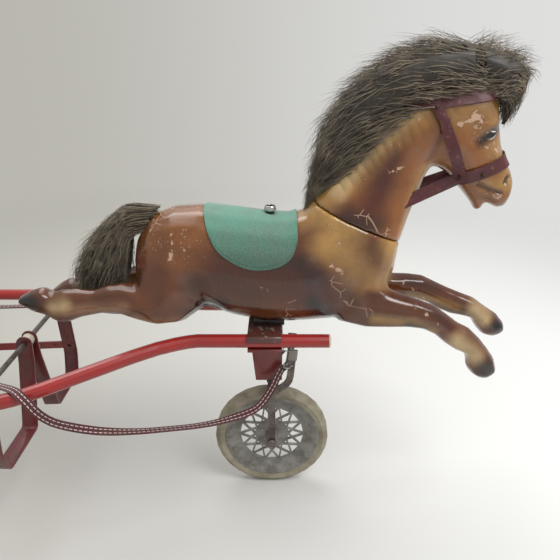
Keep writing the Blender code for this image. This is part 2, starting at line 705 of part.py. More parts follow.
def clamp_and_head(parent):
    """The saddle plate over both shafts, and under them the plate with the steering box."""
    worn = paint("clamp_worn_paint", WORN_RED, 0.6)
    red = paint("bracket_enamel", RED, 0.35)
    edge = CLAMP_HALF + SHEET / 2 + GAP
    top = CLAMP_TOP_Z + SHEET / 2
    lip = SHAFT_FRONT_Z + CLAMP_LIP_ABOVE
    bent = rounded([(-edge, lip), (-edge, top), (edge, top), (edge, lip)], 0.003)
    folded = prism(thick_line(bent, SHEET), "X", PLATE_REAR_X, PLATE_FRONT_X)
    saddle = place("clamp_saddle", folded, worn, parent=parent)

    low = CLAMP_LOW_Z - SHEET / 2
    edge = SHAFT_FRONT_SPACING / 2 + LOWER_PLATE_OVERHANG
    lip = low - LOWER_PLATE_LIP
    bent = rounded([(-edge, lip), (-edge, low), (edge, low), (edge, lip)], 0.002)
    folded = prism(thick_line(bent, SHEET), "X", PLATE_REAR_X, PLATE_FRONT_X)
    plate = place("steering_head", folded, red, parent=parent)
    box_top = low + SHEET * 0.25
    outside = [(HEAD_REAR_X, box_top), (HEAD_FRONT_X, box_top), (HEAD_FRONT_X - 0.001, HEAD_BOTTOM_Z),
               (HEAD_REAR_X + HEAD_TAPER, HEAD_BOTTOM_Z)]
    combine(plate, prism(outside, "Y", -HEAD_HALF_WIDTH, HEAD_HALF_WIDTH), "UNION", parent)
    room = inset([(x, min(z, low - SHEET)) for x, z in outside], SHEET)
    combine(plate, prism(room, "Y", SHEET - HEAD_HALF_WIDTH, HEAD_HALF_WIDTH - SHEET), "DIFFERENCE", parent)
    hole = rod(STEER_PIN_D / 2 + RUNNING, (0, 0, 0), "Z", 0.200, CLAMP_TOP_Z - 0.006)
    combine(plate, hole, "DIFFERENCE", parent)

    steel = paint("bolt_steel", STEEL, 0.4, 0.9)
    bolt_r = CLAMP_BOLT_D / 2
    bolt_y = SHAFT_FRONT_SPACING / 2 - SHAFT_R - bolt_r - CLAMP_BOLT_CLEARANCE
    head_z = CLAMP_TOP_Z + SHEET + GAP
    head_top = head_z + BOLT_HEAD_HEIGHT
    nut_z = CLAMP_LOW_Z - SHEET - GAP
    nut_low = nut_z - BOLT_NUT_HEIGHT
    for name, side in SIDES.items():
        spot = (CLAMP_BOLT_X, side * bolt_y, 0)
        for piece in (saddle, plate):
            hole = rod(bolt_r + GAP, spot, "Z", nut_z - 0.010, head_z + 0.010, 10)
            combine(piece, hole, "DIFFERENCE", parent)
        bolt = [(0, nut_low - 0.0015), (bolt_r, nut_low - 0.0010), (bolt_r, nut_low), (BOLT_NUT_R, nut_low),
                (BOLT_NUT_R, nut_z), (bolt_r, nut_z), (bolt_r, head_z), (BOLT_HEAD_R, head_z),
                (BOLT_HEAD_R - 0.0006, head_top - 0.0014), (BOLT_HEAD_R - 0.0028, head_top - 0.0002),
                (0, head_top)]
        place(f"clamp_bolt_{name}", turned(bolt, spot, "Z", 10), steel, parent=parent)


# Wheels

def lattice_holes(inner_r, outer_r, centre, half_depth):
    """Cutters for the gaps between two crossed sets of slanting spokes."""
    def spot(radius, step):
        angle = math.tau * step / WHEEL_SPOKES
        return Vector((radius * math.cos(angle), radius * math.sin(angle)))

    def crossing(step):
        a0, a1 = spot(inner_r, step), spot(outer_r, step + 1)
        b0, b1 = spot(inner_r, step + 1), spot(outer_r, step)
        u, w = a1 - a0, b1 - b0
        t = ((b0.x - a0.x) * w.y - (b0.y - a0.y) * w.x) / (u.x * w.y - u.y * w.x)
        return a0 + u * t

    cutters = bmesh.new()
    for step in range(WHEEL_SPOKES):
        shapes = [
            [spot(inner_r, step), crossing(step), spot(outer_r, step), crossing(step - 1)],
            [spot(inner_r, step), crossing(step), spot(inner_r, step + 1)],
            [spot(outer_r, step), crossing(step), spot(outer_r, step + 1)],
        ]
        for shape in shapes:
            outline = [(p.x + centre[0], p.y + centre[2]) for p in inset(shape, SPOKE_WIDTH / 2)]
            hole = prism(outline, "Y", centre[1] - half_depth, centre[1] + half_depth)
            bmesh.ops.recalc_face_normals(hole, faces=hole.faces)
            spare = bpy.data.meshes.new("hole")
            hole.to_mesh(spare)
            hole.free()
            cutters.from_mesh(spare)
            bpy.data.meshes.remove(spare)
    return cutters


def wheel(name, diameter, centre, hub_half, hub_disc_r, parent):
    """A cast wheel with a flat hub disc, a lattice of crossed spokes and a channelled rim, and its tyre."""
    outer = diameter / 2
    seat = outer - TYRE_DEPTH
    bore_r = AXLE_D / 2 + RUNNING
    lattice_out = seat - RIM_DEPTH
    web = WHEEL_WEB_HALF
    flange = RIM_FLANGE_HALF
    channel = RIM_CHANNEL_HALF
    floor = seat - RIM_CHANNEL_DEPTH
    half = [(bore_r, hub_half), (bore_r + 0.0045, hub_half), (bore_r + 0.0065, web), (lattice_out, web),
            (seat - 0.0025, flange), (seat, flange), (floor, channel)]
    profile = half + [(r, -a) for r, a in half[::-1]]
    steel = paint("wheel_casting", STEEL, 0.45, 0.8)
    casting = turned(profile, centre, "Y", 2 * WHEEL_SPOKES, ring=True)
    rim = place(f"{name}_rim", casting, steel, centre, parent)
    cutters = lattice_holes(hub_disc_r + 0.001, lattice_out - 0.001, centre, 2 * web)
    combine(rim, cutters, "DIFFERENCE", parent)
    width = TYRE_HALF_WIDTH
    half = [(floor + GAP, channel - GAP), (seat + GAP, flange), (seat + TYRE_DEPTH * 0.5, width),
            (outer, width * 0.50)]
    profile = half + [(r, -a) for r, a in half[::-1]]
    rubber = paint("tyre_rubber", RUBBER, 0.75)
    place(f"{name}_tyre", turned(profile, centre, "Y", 2 * WHEEL_SPOKES, ring=True), rubber, centre, parent)


def arm_place(point):
    return Vector((point[0], CROWN_Z + point[1]))


def arm_end(half_width, start, end):
    """An outline round a steering arm's upper part, measured along it from its tip."""
    tip = arm_place(ARM_TIP)
    slope = (tip - arm_place(ARM_ELBOW)).normalized()
    across = Vector((slope.y, -slope.x)) * half_width
    near = tip + slope * start
    far = tip + slope * end
    return [near - across, near + across, far + across, far - across]


def steering(parent):
    """The fork, its two rein arms, the pin it turns on and the front wheel."""
    steel = paint("fork_steel", STEEL, 0.45, 0.85)
    axis = (0, 0, 0)
    leg_y = FORK_INSIDE / 2 + STRIP / 2
    eye_z = FRONT_AXLE_Z
    foot_z = eye_z - FORK_BELOW_AXLE
    path = rounded([(-leg_y, foot_z), (-leg_y, CROWN_Z + STRIP / 2), (leg_y, CROWN_Z + STRIP / 2),
                    (leg_y, foot_z)], 0.006)
    folded = prism(thick_line(path, STRIP), "X", -FORK_WIDTH / 2, FORK_WIDTH / 2)
    fork = place("fork", folded, steel, axis, parent)
    axle_hole = rod(AXLE_D / 2 + GAP, (0, 0, eye_z), "Y", -FORK_INSIDE, FORK_INSIDE, 12)
    combine(fork, axle_hole, "DIFFERENCE", parent)
    pin_low = CROWN_Z + STRIP + GAP
    nut_low = CLAMP_LOW_Z + GAP
    pin_r = STEER_PIN_D / 2
    collar_r = pin_r + PIN_COLLAR
    nut_r = pin_r + PIN_NUT_WALL
    nut_top = nut_low + PIN_NUT_HEIGHT
    pin = [(0, pin_low), (collar_r, pin_low), (collar_r, pin_low + 0.004), (pin_r, pin_low + 0.005),
           (pin_r, nut_low), (nut_r, nut_low), (nut_r, nut_top - 0.001), (pin_r, nut_top), (0, nut_top)]
    place("steering_pin", turned(pin, axis, "Z", 12), steel, axis, parent)
    sleeve_grey = paint("grey_sleeve", GREY_SLEEVE, 0.6)
    chrome = paint("chrome", CHROME, 0.12, 1.0)
    for name, side in SIDES.items():
        inner = leg_y + STRIP / 2 + GAP
        low, high = sorted((side * inner, side * (inner + STRIP)))
        line = rounded([arm_place(p) for p in (ARM_FOOT, ARM_KNEE, ARM_ELBOW, ARM_TIP)], 0.012)
        strip = prism(thick_line(line, ARM_WIDTH), "Y", low, high)
        arm = place(f"steering_arm_{name}", strip, steel, axis, parent)
        eye_at = arm_place(ARM_EYE)
        eye = rod(RING_WIRE_R * 2, (eye_at.x, 0, eye_at.y), "Y", low - 0.005, high + 0.005, 10)
        combine(arm, eye, "DIFFERENCE", parent)

        skin = SLEEVE_WALL + GAP
        outside = arm_end(ARM_WIDTH / 2 + skin, -SLEEVE_LENGTH, skin + GAP)
        sleeve = prism(outside, "Y", low - skin, high + skin)
        bmesh.ops.bevel(sleeve, geom=sleeve.edges[:], offset=0.0008, segments=1, affect="EDGES", profile=0.5,
                        material=-1)
        cover = place(f"arm_sleeve_{name}", sleeve, sleeve_grey, axis, parent)
        pocket = prism(arm_end(ARM_WIDTH / 2 + GAP, -SLEEVE_LENGTH - 0.004, GAP), "Y", low - GAP, high + GAP)
        combine(cover, pocket, "DIFFERENCE", parent)

        centre = Vector((eye_at.x - RING_R, (low + high) / 2, eye_at.y))
        rings = []
        for x, y in circle_points(1.0, 14):
            out = Vector((x, y, 0))
            rings.append([centre + out * (RING_R + a) + Vector((0, 0, b))
                          for a, b in circle_points(RING_WIRE_R, 6)])
        place(f"rein_ring_{name}", loft(rings, closed=True), chrome, axis, parent)
    axle_r = AXLE_D / 2
    hub_half = FORK_INSIDE / 2 - FRONT_HUB_END_PLAY
    outside = FORK_INSIDE / 2 + STRIP + GAP
    end = outside + AXLE_HEAD_LENGTH
    head = [(axle_r, outside), (AXLE_HEAD_R, outside), (AXLE_HEAD_R, end - 0.0018), (axle_r + 0.001, end)]
    axle = [(0, end)] + head[::-1] + [(r, -a) for r, a in head] + [(0, -end)]
    place("front_axle", turned(axle, (0, 0, eye_z), "Y", 12), steel, (0, 0, eye_z), parent)
    wheel("front", FRONT_WHEEL_D, (0, 0, eye_z), hub_half, FRONT_HUB_DISC_R, parent)


# Pedals and drive

def rest_angles():
    """Both rods are one length, so at mid stroke one pedal leans back as far as the other leans forward."""
    reach = WHEELBASE + PEDAL_ROD_X

    def gap_between(lean):
        lengths = []
        for way in (-1, 1):
            pivot_x = reach + way * LEVER * math.sin(lean)
            pivot_z = PEDAL_ROD_Z - LEVER * math.cos(lean)
            pin_z = REAR_AXLE_Z + way * CRANK_RADIUS
            lengths.append(math.hypot(pivot_x, pivot_z - pin_z))
        return lengths[0] - lengths[1]

    low, high = 0.0, math.radians(15)
    for _ in range(40):
        middle = (low + high) / 2
        if gap_between(middle) > 0:
            low = middle
        else:
            high = middle
    return low


def pedal(name, side, lean, parent):
    """A stirrup folded from one strip; its two upright arms hang on the cross rod."""
    red = paint("pedal_enamel", PEDAL_RED, 0.45)
    pivot = (PEDAL_ROD_X, 0, PEDAL_ROD_Z)
    top = PEDAL_ROD_Z + PEDAL_STRIP_WIDTH / 2
    foot = PEDAL_ROD_Z - PEDAL_DROP
    knees = [(PEDAL_INNER_TOP, top), (PEDAL_INNER_TOP, PEDAL_ROD_Z - 0.030), (PEDAL_INNER_FOOT, foot),
             (PEDAL_OUTER_FOOT, foot), (PEDAL_OUTER_TOP, PEDAL_ROD_Z - PEDAL_ARM_STRAIGHT),
             (PEDAL_OUTER_TOP, top)]
    path = rounded([(side * y, z) for y, z in knees], 0.008)
    half = PEDAL_STRIP_WIDTH / 2
    stirrup = prism(thick_line(path, STRIP), "X", PEDAL_ROD_X - half, PEDAL_ROD_X + half)
    thing = place(f"pedal_{name}", stirrup, red, pivot, parent)
    corner = [(PEDAL_ROD_X + half * math.cos(a), PEDAL_ROD_Z + half * math.sin(a))
              for a in (math.radians(d) for d in range(0, 181, 20))]
    shade = corner + [(PEDAL_ROD_X - half - 0.003, PEDAL_ROD_Z), (PEDAL_ROD_X - half - 0.003, top + 0.004),
                      (PEDAL_ROD_X + half + 0.003, top + 0.004), (PEDAL_ROD_X + half + 0.003, PEDAL_ROD_Z)]
    combine(thing, prism(shade, "Y", -0.200, 0.200), "DIFFERENCE", parent)
    hole = rod(AXLE_D / 2 + RUNNING, pivot, "Y", -0.200, 0.200, 12)
    combine(thing, hole, "DIFFERENCE", parent)
    low, high = sorted((side * (PEDAL_OUTER_TOP - 0.010), side * (PEDAL_OUTER_TOP + 0.010)))
    rivet_hole = rod(PEDAL_RIVET_D / 2 + GAP, (PEDAL_ROD_X, 0, PEDAL_ROD_Z - LEVER), "Y", low, high, 10)
    combine(thing, rivet_hole, "DIFFERENCE", parent)
    for x in (-1, 0, 1):
        slot_x = PEDAL_ROD_X + x * PEDAL_STRIP_WIDTH * 0.30
        groove = rod(0.0026, (slot_x, 0, foot - STRIP / 2 - 0.0016), "Y", side * 0.038, side * 0.122, 10)
        combine(thing, groove, "DIFFERENCE", parent)
    thing.rotation_euler = (0, lean, 0)
    for step in thing.modifiers:
        guide = step.object
        guide.matrix_local = (Matrix.Translation(pivot) @ Matrix.Rotation(lean, 4, "Y")
                              @ Matrix.Translation(-Vector(pivot)))
    return thing


def pedal_rivet_place(side, lean):
    """Where the connecting rod meets the pedal's outer arm."""
    x = PEDAL_ROD_X - LEVER * math.sin(lean)
    z = PEDAL_ROD_Z - LEVER * math.cos(lean)
    return Vector((x, side * ROD_Y, z))


def bar_outline(start, end, half_height, steps=5):
    """A flat bar with round ends, drawn around two pivots in side view."""
    along = (end - start).normalized()
    base = math.atan2(along.y, along.x)
    points = []
    for centre, turn in ((end, base - math.pi / 2), (start, base + math.pi / 2)):
        for i in range(steps + 1):
            angle = turn + math.pi * i / steps
            points.append(centre + Vector((math.cos(angle), math.sin(angle))) * half_height)
    return points


def drive(parent):
    """Pedals on their cross rod, the cranked rear axle and the two rods between them."""
    steel = paint("rod_steel", STEEL, 0.4, 0.9)
    cream = paint("cream_plastic", CREAM, 0.45)
    red = paint("connecting_rod_enamel", RED, 0.4)
    rod_r = AXLE_D / 2
    end_y = SHAFT_REAR_SPACING / 2 + SHAFT_R + ROD_NUT_LENGTH + 0.0005
    cross_bar = rod(rod_r, (PEDAL_ROD_X, 0, PEDAL_ROD_Z), "Y", -end_y, end_y, 12)
    place("pedal_rod", cross_bar, steel, parent=parent)
    bush_half = PEDAL_INNER_TOP - STRIP / 2 - GAP
    bush = [(rod_r + GAP, -bush_half), (0.0092, -bush_half), (0.0100, -bush_half * 0.7),
            (0.0100, bush_half * 0.7), (0.0092, bush_half), (rod_r + GAP, bush_half)]
    place("pedal_bush", turned(bush, (PEDAL_ROD_X, 0, PEDAL_ROD_Z), "Y", 12, ring=True), cream, parent=parent)
    lean = rest_angles()
    for name, side in SIDES.items():
        at = (PEDAL_ROD_X, 0, PEDAL_ROD_Z)
        inner = side * (SHAFT_REAR_SPACING / 2 + SHAFT_R + GAP)
        bore = (rod_r + GAP) / math.cos(math.pi / 6)
        nut = [(bore, inner), (ROD_NUT_R, inner), (ROD_NUT_R, inner + side * (ROD_NUT_LENGTH - 0.0015)),
               (ROD_NUT_R - 0.0015, inner + side * (ROD_NUT_LENGTH - 0.0002)),
               (bore, inner + side * ROD_NUT_LENGTH)]
        place(f"pedal_rod_nut_{name}", turned(nut, at, "Y", 6, ring=True), steel, parent=parent)
        tilt = -side * lean
        pedal(name, side, tilt, parent)
        start = pedal_rivet_place(side, tilt)
        pin = Vector((-WHEELBASE, side * ROD_Y, REAR_AXLE_Z + side * CRANK_RADIUS))
        low, high = sorted((side * (ROD_Y - ROD_THICK / 2), side * (ROD_Y + ROD_THICK / 2)))
        outline = bar_outline(Vector((start.x, start.z)), Vector((pin.x, pin.z)), ROD_HEIGHT / 2)
        bar = place(f"connecting_rod_{name}", prism(outline, "Y", low, high), red, pin, parent)
        combine(bar, rod(rod_r + RUNNING, pin, "Y", -0.01, 0.01, 12), "DIFFERENCE", parent)
        rivet_r = PEDAL_RIVET_D / 2
        combine(bar, rod(rivet_r + GAP, start, "Y", -0.01, 0.01, 10), "DIFFERENCE", parent)
        face = side * (ROD_THICK / 2 + GAP)
        rivet = [(0, -face), (rivet_r, -face), (rivet_r, face), (0.0058, face),
                 (0.0050, face + side * 0.0020), (0.0025, face + side * 0.0032), (0, face + side * 0.0034)]
        place(f"rod_rivet_{name}", turned(rivet, start, "Y", 12), steel, pin, parent)
    crank(parent, steel)


def crank(parent, steel):
    """One bar bent into two opposite throws, which turns with the right wheel."""
    end_y = REAR_TRACK / 2 + CRANK_END
    knees = [(-end_y, 0)]
    for side in (-1, 1):
        near, far = ROD_Y - CRANK_PIN_HALF, ROD_Y + CRANK_PIN_HALF
        throw = [(side * near, 0), (side * near, side * CRANK_RADIUS), (side * far, side * CRANK_RADIUS),
                 (side * far, 0)]
        knees += throw[::side]
    knees.append((end_y, 0))
    path = rounded(knees, 0.0035, 2)
    line = [(-WHEELBASE, y, REAR_AXLE_Z + z) for y, z in path]
    rings = []
    for i, point in enumerate(line):
        point = Vector(point)
        before = Vector(line[max(i - 1, 0)])
        after = Vector(line[min(i + 1, len(line) - 1)])
        first = (point - before).normalized() if i else Vector((0, 1, 0))
        second = (after - point).normalized() if i + 1 < len(line) else Vector((0, 1, 0))
        along = (first + second).normalized()
        across = Vector((0, -along.z, along.y))
        rings.append([point + Vector((a, 0, 0)) + across * b for a, b in circle_points(AXLE_D / 2, 8)])
    centre = (-WHEELBASE, 0, REAR_AXLE_Z)
    place("crank_axle", loft(rings), steel, centre, parent)
    chrome = paint("chrome", CHROME, 0.12, 1.0)
    for name, side in SIDES.items():
        at = (-WHEELBASE, side * REAR_TRACK / 2, REAR_AXLE_Z)
        wheel(f"rear_{name}", REAR_WHEEL_D, at, REAR_HUB_HALF, REAR_HUB_DISC_R, parent)
        start = side * (REAR_HUB_HALF + GAP)
        bore = AXLE_D / 2 + GAP
        cap = [(0, start + side * 0.0118), (0.0085, start + side * 0.0092), (0.0120, start + side * 0.0040),
               (0.0120, start), (bore, start), (bore, start + side * 0.0102), (0, start + side * 0.0102)]
        place(f"hub_cap_{name}", turned(cap, at, "Y", 16), chrome, at, parent)


# Rear brackets and seat

def rear_brackets(parent):
    red = paint("bracket_enamel", RED, 0.35)
    cream = paint("cream_plastic", CREAM, 0.45)
    for name, side in SIDES.items():
        y = side * SHAFT_REAR_SPACING / 2
        reach = BRACKET_REACH
        half = BRACKET_TOP_HALF
        eye = BRACKET_EYE_R
        top = SHAFT_REAR_Z + reach
        bottom = REAR_AXLE_Z - eye
        path = rounded([(y - reach, bottom), (y - reach, top), (y + reach, top), (y + reach, bottom)], 0.005)
        folded = prism(thick_line(path, STRIP), "X", -WHEELBASE - half, -WHEELBASE + half)
        bracket = place(f"axle_bracket_{name}", folded, red, parent=parent)
        taper = [(-WHEELBASE - half - 0.001, top + 0.010), (-WHEELBASE - half, SHAFT_REAR_Z - 2 * SHAFT_R),
                 (-WHEELBASE - eye, REAR_AXLE_Z)]
        arc = [(-WHEELBASE + eye * math.cos(a), REAR_AXLE_Z + eye * math.sin(a))
               for a in (math.radians(d) for d in range(200, 341, 20))]
        mirror = [(-2 * WHEELBASE - x, z) for x, z in taper[::-1]]
        side_view = taper + arc + mirror
        combine(bracket, prism(side_view, "Y", y - 0.030, y + 0.030), "INTERSECT", parent)
        hole = rod(BUSH_R + GAP, (-WHEELBASE, y, REAR_AXLE_Z), "Y", -0.030, 0.030, 12)
        combine(bracket, hole, "DIFFERENCE", parent)
        bore = AXLE_D / 2 + RUNNING
        outer = reach + STRIP / 2
        inner_end = -outer - 2 * GAP
        flange_end = outer + BUSH_FLANGE_THICK
        flange_r = BUSH_R + BUSH_FLANGE
        bush = [(bore, inner_end), (BUSH_R, inner_end), (BUSH_R, outer + GAP), (flange_r, outer + GAP),
                (flange_r, flange_end), (bore, flange_end)]
        bush = [(r, side * a) for r, a in bush]
        place(f"axle_bush_{name}", turned(bush, (-WHEELBASE, y, REAR_AXLE_Z), "Y", 12, ring=True), cream,
              parent=parent)


def seat(parent):
    red = paint("seat_enamel", RED, 0.3)
    dark = paint("bracket_enamel", RED, 0.35)
    low = SHAFT_REAR_Z + SHAFT_R + GAP
    top = low + BEARER_HEIGHT
    reach = SHAFT_REAR_SPACING / 2 + SHAFT_R
    places = {"front": SEAT_FRONT_X - FRONT_BEARER_INSET, "rear": SEAT_REAR_X + REAR_BEARER_INSET}
    for name, x in places.items():
        inside = SHAFT_REAR_SPACING / 2 - SHAFT_R - 0.014
        foot_z = low + SHEET / 2
        deck_z = top - SHEET / 2
        half_path = [(reach, foot_z), (inside + 0.006, foot_z), (inside, deck_z)]
        path = rounded([(-y, z) for y, z in half_path] + half_path[::-1], 0.004, 2)
        bearer = prism(thick_line(path, SHEET), "X", x - BEARER_HALF_WIDTH, x + BEARER_HALF_WIDTH)
        place(f"seat_bearer_{name}", bearer, dark, parent=parent)
    pan_z = top + GAP
    half = SEAT_WIDTH / 2
    flat_rear = SEAT_REAR_X + SEAT_FLARE
    flat_front = SEAT_FRONT_X - SEAT_FRONT_ROLL
    flat_half = half - SEAT_FLARE
    inner = [(flat_rear, -flat_half), (flat_front, -flat_half), (flat_front, flat_half),
             (flat_rear, flat_half)]
    outer = [(SEAT_REAR_X, -half), (SEAT_FRONT_X, -half), (SEAT_FRONT_X, half), (SEAT_REAR_X, half)]
    pan = bmesh.new()
    base = [pan.verts.new((x, y, pan_z)) for x, y in inner]
    lifts = (SEAT_RIM, 0.0, 0.0, SEAT_RIM)
    rim = [pan.verts.new((x, y, pan_z + lift)) for (x, y), lift in zip(outer, lifts)]
    pan.faces.new(base)
    for i in range(4):
        pan.faces.new((base[i - 1], base[i], rim[i], rim[i - 1]))
    bmesh.ops.bevel(pan, geom=[e for e in pan.edges if len(e.link_faces) == 2], offset=0.008, segments=2,
                    affect="EDGES", profile=0.5, material=-1)
    seat_pan = place("seat_pan", pan, red, parent=parent, sharp=40.0)
    if seat_pan.data.polygons[0].normal.z < 0:
        seat_pan.data.flip_normals()
    wall = seat_pan.modifiers.new("Pressed sheet", "SOLIDIFY")
    wall.thickness = SHEET
    wall.offset = 1.0
    wall.use_even_offset = True
    seat_back(low, red, dark, parent)


def seat_back(low, red, dark, parent):
    """A flat frame that stands on both shafts behind the pan, and the curved panel riveted to it."""
    reach = SHAFT_REAR_SPACING / 2 + SHAFT_R
    rail = low + BACK_RAIL
    top = rail + BACK_HEIGHT
    post_out = SEAT_WIDTH / 2 - BACK_POST_INSET
    post_in = post_out - BACK_POST_WIDTH
    left_half = [(reach, low), (reach, rail), (post_out, rail), (post_out, top), (post_in, top),
                 (post_in, rail)]
    outline = left_half + [(-y, z) for y, z in left_half[::-1]]
    rear_x = SEAT_REAR_X - GAP
    frame = prism(outline, "X", rear_x - STRIP, rear_x)
    lean_back(frame, rail)
    place("back_frame", frame, dark, parent=parent)

    half = SEAT_WIDTH / 2
    panel_low = rail + PANEL_ABOVE_RAIL
    corner_z = top + PANEL_ABOVE_POSTS - BACK_CORNER
    arc = [(half - BACK_CORNER + BACK_CORNER * math.cos(a), corner_z + BACK_CORNER * math.sin(a))
           for a in (math.radians(d) for d in range(0, 91, 18))]
    left_half = [(half, panel_low)] + arc
    outline = left_half + [(-y, z) for y, z in left_half[::-1]]
    front_x = rear_x + GAP / math.cos(math.radians(BACK_LEAN)) + GAP
    panel = prism(outline, "X", front_x, front_x + SHEET)
    for i in range(-3, 4):
        bmesh.ops.bisect_plane(panel, geom=panel.verts[:] + panel.edges[:] + panel.faces[:],
                               plane_co=(0, half * i / 4, 0), plane_no=(0, 1, 0))
    for vertex in panel.verts:
        vertex.co.x += BACK_BOW * (vertex.co.y ** 2 - post_in ** 2)
    lean_back(panel, rail)
    place("seat_back", panel, red, parent=parent)


def lean_back(bm, from_z):
    """Lean what stands above a height backwards."""
    slant = math.tan(math.radians(BACK_LEAN))
    for vertex in bm.verts:
        if vertex.co.z > from_z:
            vertex.co.x -= (vertex.co.z - from_z) * slant


# Reins

REIN_R = 0.0035
REIN_POINTS = 88
REIN_FRONT_POINTS = 9
BEND_EASE = 0.020
RIGHT_REIN = [
    (0.0172, -0.0271, 0.2422), (0.0110, -0.0320, 0.2320), (0.0010, -0.0390, 0.2120),
    (-0.0180, -0.0520, 0.1890), (-0.0400, -0.0630, 0.1815), (-0.0700, -0.0750, 0.1800),
    (-0.1100, -0.0920, 0.1840), (-0.1500, -0.1090, 0.1915), (-0.1900, -0.1270, 0.2010),
    (-0.2300, -0.1450, 0.2140), (-0.2620, -0.1600, 0.2290), (-0.2860, -0.1740, 0.2480),
    (-0.3020, -0.1800, 0.2680), (-0.3160, -0.1770, 0.2880), (-0.3330, -0.1650, 0.2950),
    (-0.3580, -0.1470, 0.2900), (-0.3880, -0.1320, 0.2848),
]
LEFT_REIN = [
    (0.0172, 0.0271, 0.2422), (0.0110, 0.0320, 0.2320), (0.0020, 0.0410, 0.2165),
    (-0.0050, 0.0590, 0.2120), (-0.0120, 0.0790, 0.2260), (-0.0180, 0.0880, 0.2540),
    (-0.0235, 0.0890, 0.2830), (-0.0310, 0.0860, 0.3080), (-0.0430, 0.0760, 0.3250),
    (-0.0600, 0.0650, 0.3260), (-0.0780, 0.0560, 0.3230), (-0.1050, 0.0500, 0.3195),
    (-0.1400, 0.0550, 0.3100), (-0.1900, 0.0640, 0.2990), (-0.2400, 0.0770, 0.2905),
    (-0.2900, 0.0910, 0.2860), (-0.3400, 0.1040, 0.2850), (-0.3880, 0.1160, 0.2848),
]
REAR_REIN = [
    (-0.4450, 0.1190, 0.2815), (-0.5000, 0.1120, 0.2840), (-0.5600, 0.1045, 0.2935),
    (-0.6200, 0.0975, 0.3090), (-0.6800, 0.0910, 0.3310), (-0.7400, 0.0850, 0.3590),
    (-0.8000, 0.0795, 0.3930), (-0.8500, 0.0755, 0.4265), (-0.8850, 0.0722, 0.4560),
    (-0.8988, 0.0709, 0.4700), (-0.9085, 0.0700, 0.4748), (-0.9186, 0.0690, 0.4706),
    (-0.9225, 0.0675, 0.4600), (-0.9220, 0.0620, 0.4470), (-0.9210, 0.0480, 0.4330),
    (-0.9200, 0.0250, 0.4250),
]


def rein_route():
    """From the right ring over the cross rod, round the seat's back and forward to the left ring."""
    back_right = [(x, -y, z) for x, y, z in REAR_REIN]
    return RIGHT_REIN + back_right + REAR_REIN[::-1] + LEFT_REIN[::-1]


def spaced_by_bend(line, count):
    """The same curve, read at points that lie closer together where it bends."""
    marks = [0.0]
    for i, (start, end) in enumerate(zip(line, line[1:])):
        turn = (end - start).angle(line[i + 2] - end) if i + 2 < len(line) else 0.0
        marks.append(marks[-1] + (end - start).length + BEND_EASE * turn)
    out = []
    for k in range(count):
        goal = marks[-1] * k / (count - 1)
        i = min(bisect_right(marks, goal), len(line) - 1) - 1
        share = (goal - marks[i]) / (marks[i + 1] - marks[i])
        out.append(line[i].lerp(line[i + 1], min(share, 1.0)))
    return out


def cap_gap(before, corner, after):
    """The middle gap between two tubes that meet at a corner, at which their caps clear on its inner side."""
    turn = (corner - before).angle(after - corner)
    return 2 * GAP + 2 * REIN_R * math.tan(turn / 2)


def reins(parent):
    """One webbing rein from ring to ring; each front stretch is its own piece, as it follows the steering."""
    webbing = paint("rein_webbing", MAROON, 0.8)
    line = spaced_by_bend(smooth_path(rein_route(), 12), REIN_POINTS)
    split = REIN_FRONT_POINTS - 1
    runs = {
        "rein_front_right": line[:split + 1],
        "rein_loop": line[split:-split],
        "rein_front_left": line[-split - 1:],
    }
    for name, points in runs.items():
        points = [p.copy() for p in points]
        if name == "rein_loop":
            first = cap_gap(line[split - 1], line[split], line[split + 1])
            last = cap_gap(line[-split - 2], line[-split - 1], line[-split])
            points[0] += (points[1] - points[0]).normalized() * first
            points[-1] += (points[-2] - points[-1]).normalized() * last
        curve = bpy.data.curves.new(name, "CURVE")
        curve.dimensions = "3D"
        curve.bevel_depth = REIN_R
        curve.bevel_resolution = 2
        curve.use_fill_caps = True
        spline = curve.splines.new("POLY")
        spline.points.add(len(points) - 1)
        for knot, spot in zip(spline.points, points):
            knot.co = (*spot, 1.0)
        curve.materials.append(webbing)
        thing = bpy.data.objects.new(name, curve)
        thing.parent = parent
        bpy.context.scene.collection.objects.link(thing)


def main():
    clear_scene()
    sulky = bpy.data.objects.new("sulky", None)
    bpy.context.scene.collection.objects.link(sulky)
    horse = bpy.data.objects.new("horse", None)
    horse.parent = sulky
    horse.location.z = HORSE_LIFT
    bpy.context.scene.collection.objects.link(horse)
    shafts(sulky)
    clamp_and_head(sulky)
    horse_mounting(sulky, horse)
    horse_pieces(horse)
    steering(sulky)
    drive(sulky)
    rear_brackets(sulky)
    seat(sulky)
    reins(sulky)
    stand_on_middle(sulky)


def stand_on_middle(sulky):
    """Move the whole so that the origin is on the ground under the middle of the box, reins left out."""
    bpy.context.view_layer.update()
    graph = bpy.context.evaluated_depsgraph_get()
    low, high = Vector((9, 9, 9)), Vector((-9, -9, -9))
    for thing in bpy.data.objects:
        if thing.type != "MESH" or thing.hide_render:
            continue
        seen = thing.evaluated_get(graph)
        mesh = seen.to_mesh()
        for vertex in mesh.vertices:
            spot = seen.matrix_world @ vertex.co
            low = Vector(map(min, low, spot))
            high = Vector(map(max, high, spot))
        seen.to_mesh_clear()
    sulky.location = (-(low.x + high.x) / 2, -(low.y + high.y) / 2, -low.z)
    bpy.context.view_layer.update()


main()
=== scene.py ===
# %% [markdown]
# # The looks of a pedal horse sulky
# A child sits behind a moulded horse, pushes two stirrup pedals and steers with reins.
# The frame holds every piece at its true place. This lesson gives each one its surface:
# chipped airbrushed enamel, fur, webbing, worn paint, cast metal and rubber.

# %% The fixed frame
import json
import math
import random

import bpy
import bmesh
import numpy as np
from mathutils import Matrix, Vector
from mathutils.bvhtree import BVHTree


